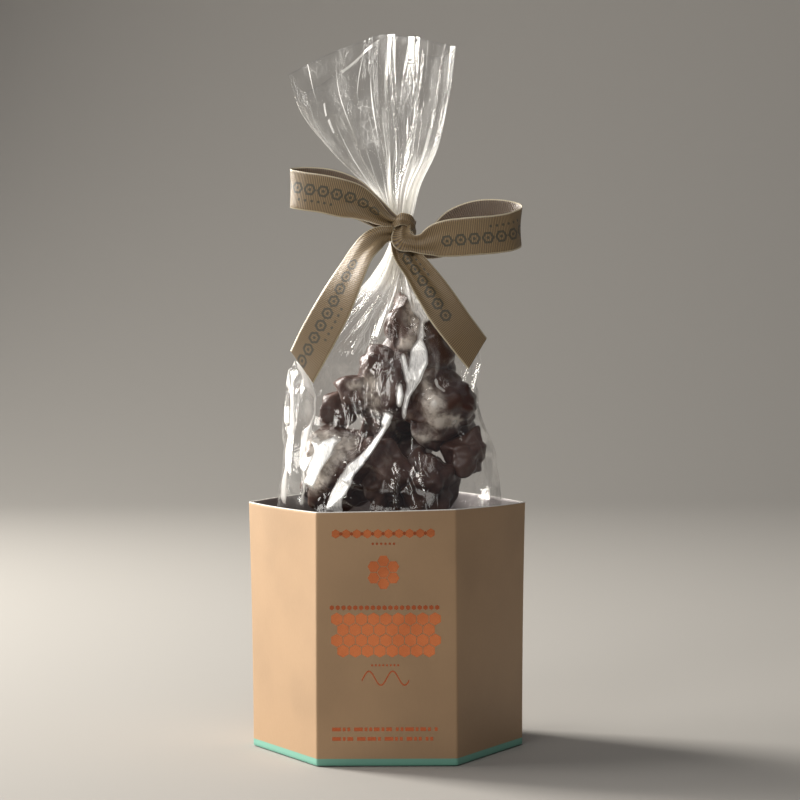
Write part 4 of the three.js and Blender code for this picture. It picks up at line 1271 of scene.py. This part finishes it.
def strand(route, cut=0.0, crush=0.8, start=0.0, curl=0.0, printed=1):
    """A strand of ribbon carried along a route. Across it, the ribbon makes two waves where it is crushed, as
    high as its spare width asks times crush, and curls as a parabola; along it, each rib rises as a cosine.
    The end slants by cut, the print begins at start and is on the face that printed says, 1 or -1. Returns
    points, quads, the flat coordinates of each corner and the length."""
    middle = [row[:3] for row in route]
    length = evenly(middle, [0, 1])[2]
    count = int(length / RIB_PITCH * SAMPLES_PER_RIB) + 1
    shares = np.linspace(0, 1, count)
    centre, t, _ = evenly(middle, shares)
    turn = table([(i / (len(route) - 1), *row[3:]) for i, row in enumerate(route)], t)
    across, width = turn[:, 1:4], turn[:, 4:5]
    forward = unit(np.gradient(centre, axis=0))
    across = unit(across - (across * forward).sum(axis=1, keepdims=True) * forward)
    out = np.cross(forward, across)
    v = np.linspace(-1, 1, RIBBON_ACROSS)[None, :]
    spare = np.sqrt(np.clip(RIBBON_WIDTH**2 - width**2, 0, None)) / 8 * crush
    wave = spare * np.cos(TURN * v + 0.7) + curl * (v**2 - 0.4)
    slope = np.gradient(wave, axis=1) / np.maximum(np.gradient(v * width / 2, axis=1), 1e-6)
    normal = unit(np.stack([-slope, np.ones_like(slope)], axis=-1))
    along = shares[:, None] * length
    thick = RIBBON_THICK / 2 + RIB_RISE * (np.cos(TURN * (along + start) / RIB_PITCH) - 1) / 2
    thick = thick * np.where(np.abs(v) > 0.999, RIBBON_EDGE, 1)
    slant = cut * np.clip(1 - (length - along) / CUT_RUN, 0, 1) * v

    def face(side):
        sideways = v * width / 2 + side * thick * normal[..., 0]
        outwards = wave + side * thick * normal[..., 1]
        return (
            centre[:, None] + across[:, None] * sideways[..., None] + out[:, None] * outwards[..., None]
            + forward[:, None] * slant[..., None]
        )

    ring = np.concatenate([face(1), face(-1)[:, ::-1]], axis=1)
    n = ring.shape[1]
    face_mark = np.repeat([0, INNER_FACE][::printed], RIBBON_ACROSS)
    flat_v = np.concatenate([v[0], v[0, ::-1]]) * RIBBON_WIDTH / 2 * printed + face_mark
    flat_v = np.append(flat_v, flat_v[0])
    # Each end is closed by quads from one face to the other.
    j = np.arange(RIBBON_ACROSS - 1)
    first = np.stack([j, n - 1 - j, n - 2 - j, j + 1], axis=-1)
    ends = np.concatenate([first, first[:, ::-1] + (count - 1) * n])
    uv_ends = np.zeros((len(ends), 4, 2))
    uv_ends[..., 0] = np.repeat([start, start + length], len(j))[:, None]
    uv_ends[..., 1] = flat_v[ends % n]
    quads = np.concatenate([grid(count, n, wrap=True), ends])
    return ring.reshape(-1, 3), quads, np.concatenate([flat_corners(along + start, flat_v), uv_ends]), length


def collar():
    """The turn of ribbon round the neck, as a strand on a circle that closes on itself."""
    r, z, width = COLLAR["r"], COLLAR["z"], COLLAR["width"]
    angles = np.linspace(0, TURN, 25)
    return [(NECK_X + r * math.sin(a), -r * math.cos(a), z, 0, 0, 1, width) for a in angles]


def heart():
    """The crushed ribbon inside the knot: an ellipsoid that shows the ribbon's inner face, with its painted
    shade.
    """
    ball, faces = unit_ball(10)
    uv = np.zeros((len(faces), 4, 2))
    uv[..., 1] = INNER_FACE
    return ball * KNOT_HEART["half"] + KNOT_HEART["at"], faces, uv, 0


def bow():
    """Every strand of the bow as one piece of ribbon. Returns it and the strands' lengths added up."""
    strands = [
        strand(LEFT_LOOP, start=46, printed=-1),
        strand(RIGHT_LOOP, crush=0.35, start=28),
        strand(LEFT_TAIL, LEFT_CUT, crush=0.35, start=32, printed=-1),
        strand(RIGHT_TAIL, RIGHT_CUT, start=-12),
        strand(KNOT_FOLD, crush=0.15, start=30, curl=-0.9),
        strand(collar(), crush=0.12, start=30),
        heart(),
    ]
    points, faces, uv, lengths = zip(*strands)
    firsts = np.cumsum([0] + [len(p) for p in points])
    faces = np.concatenate([f + first for f, first in zip(faces, firsts)])
    made = make_mesh("bow_ribbon", np.concatenate(points), [faces], [ribbon_finish()], uv=np.concatenate(uv))
    return made, sum(lengths)


# The pack

add_camera()
add_stage()
add_lights()

board = carton_board()
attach(board, "root")
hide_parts("carton")

foil = foil_print()
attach(foil, "root")

chocolate = chocolate_finish()
top_toffee, top_points = toffee("toffee_top", TOP_TOFFEE, 42, chocolate)
rim_toffee, rim_points = toffee("toffee_rim", RIM_TOFFEE, 40, chocolate)
low_toffee, _ = toffee("toffee_below", hidden_rows(), 14, chocolate)
film = film_finish()
bag, neck = bag_film(np.concatenate([top_points, rim_points]), film)
flare = bag_flare(neck, film)
for piece in (top_toffee, rim_toffee, low_toffee, bag, flare):
    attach(piece, "root")
    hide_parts("bag")

ribbon, ribbon_length = bow()
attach(ribbon, "root")
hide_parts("ribbon")
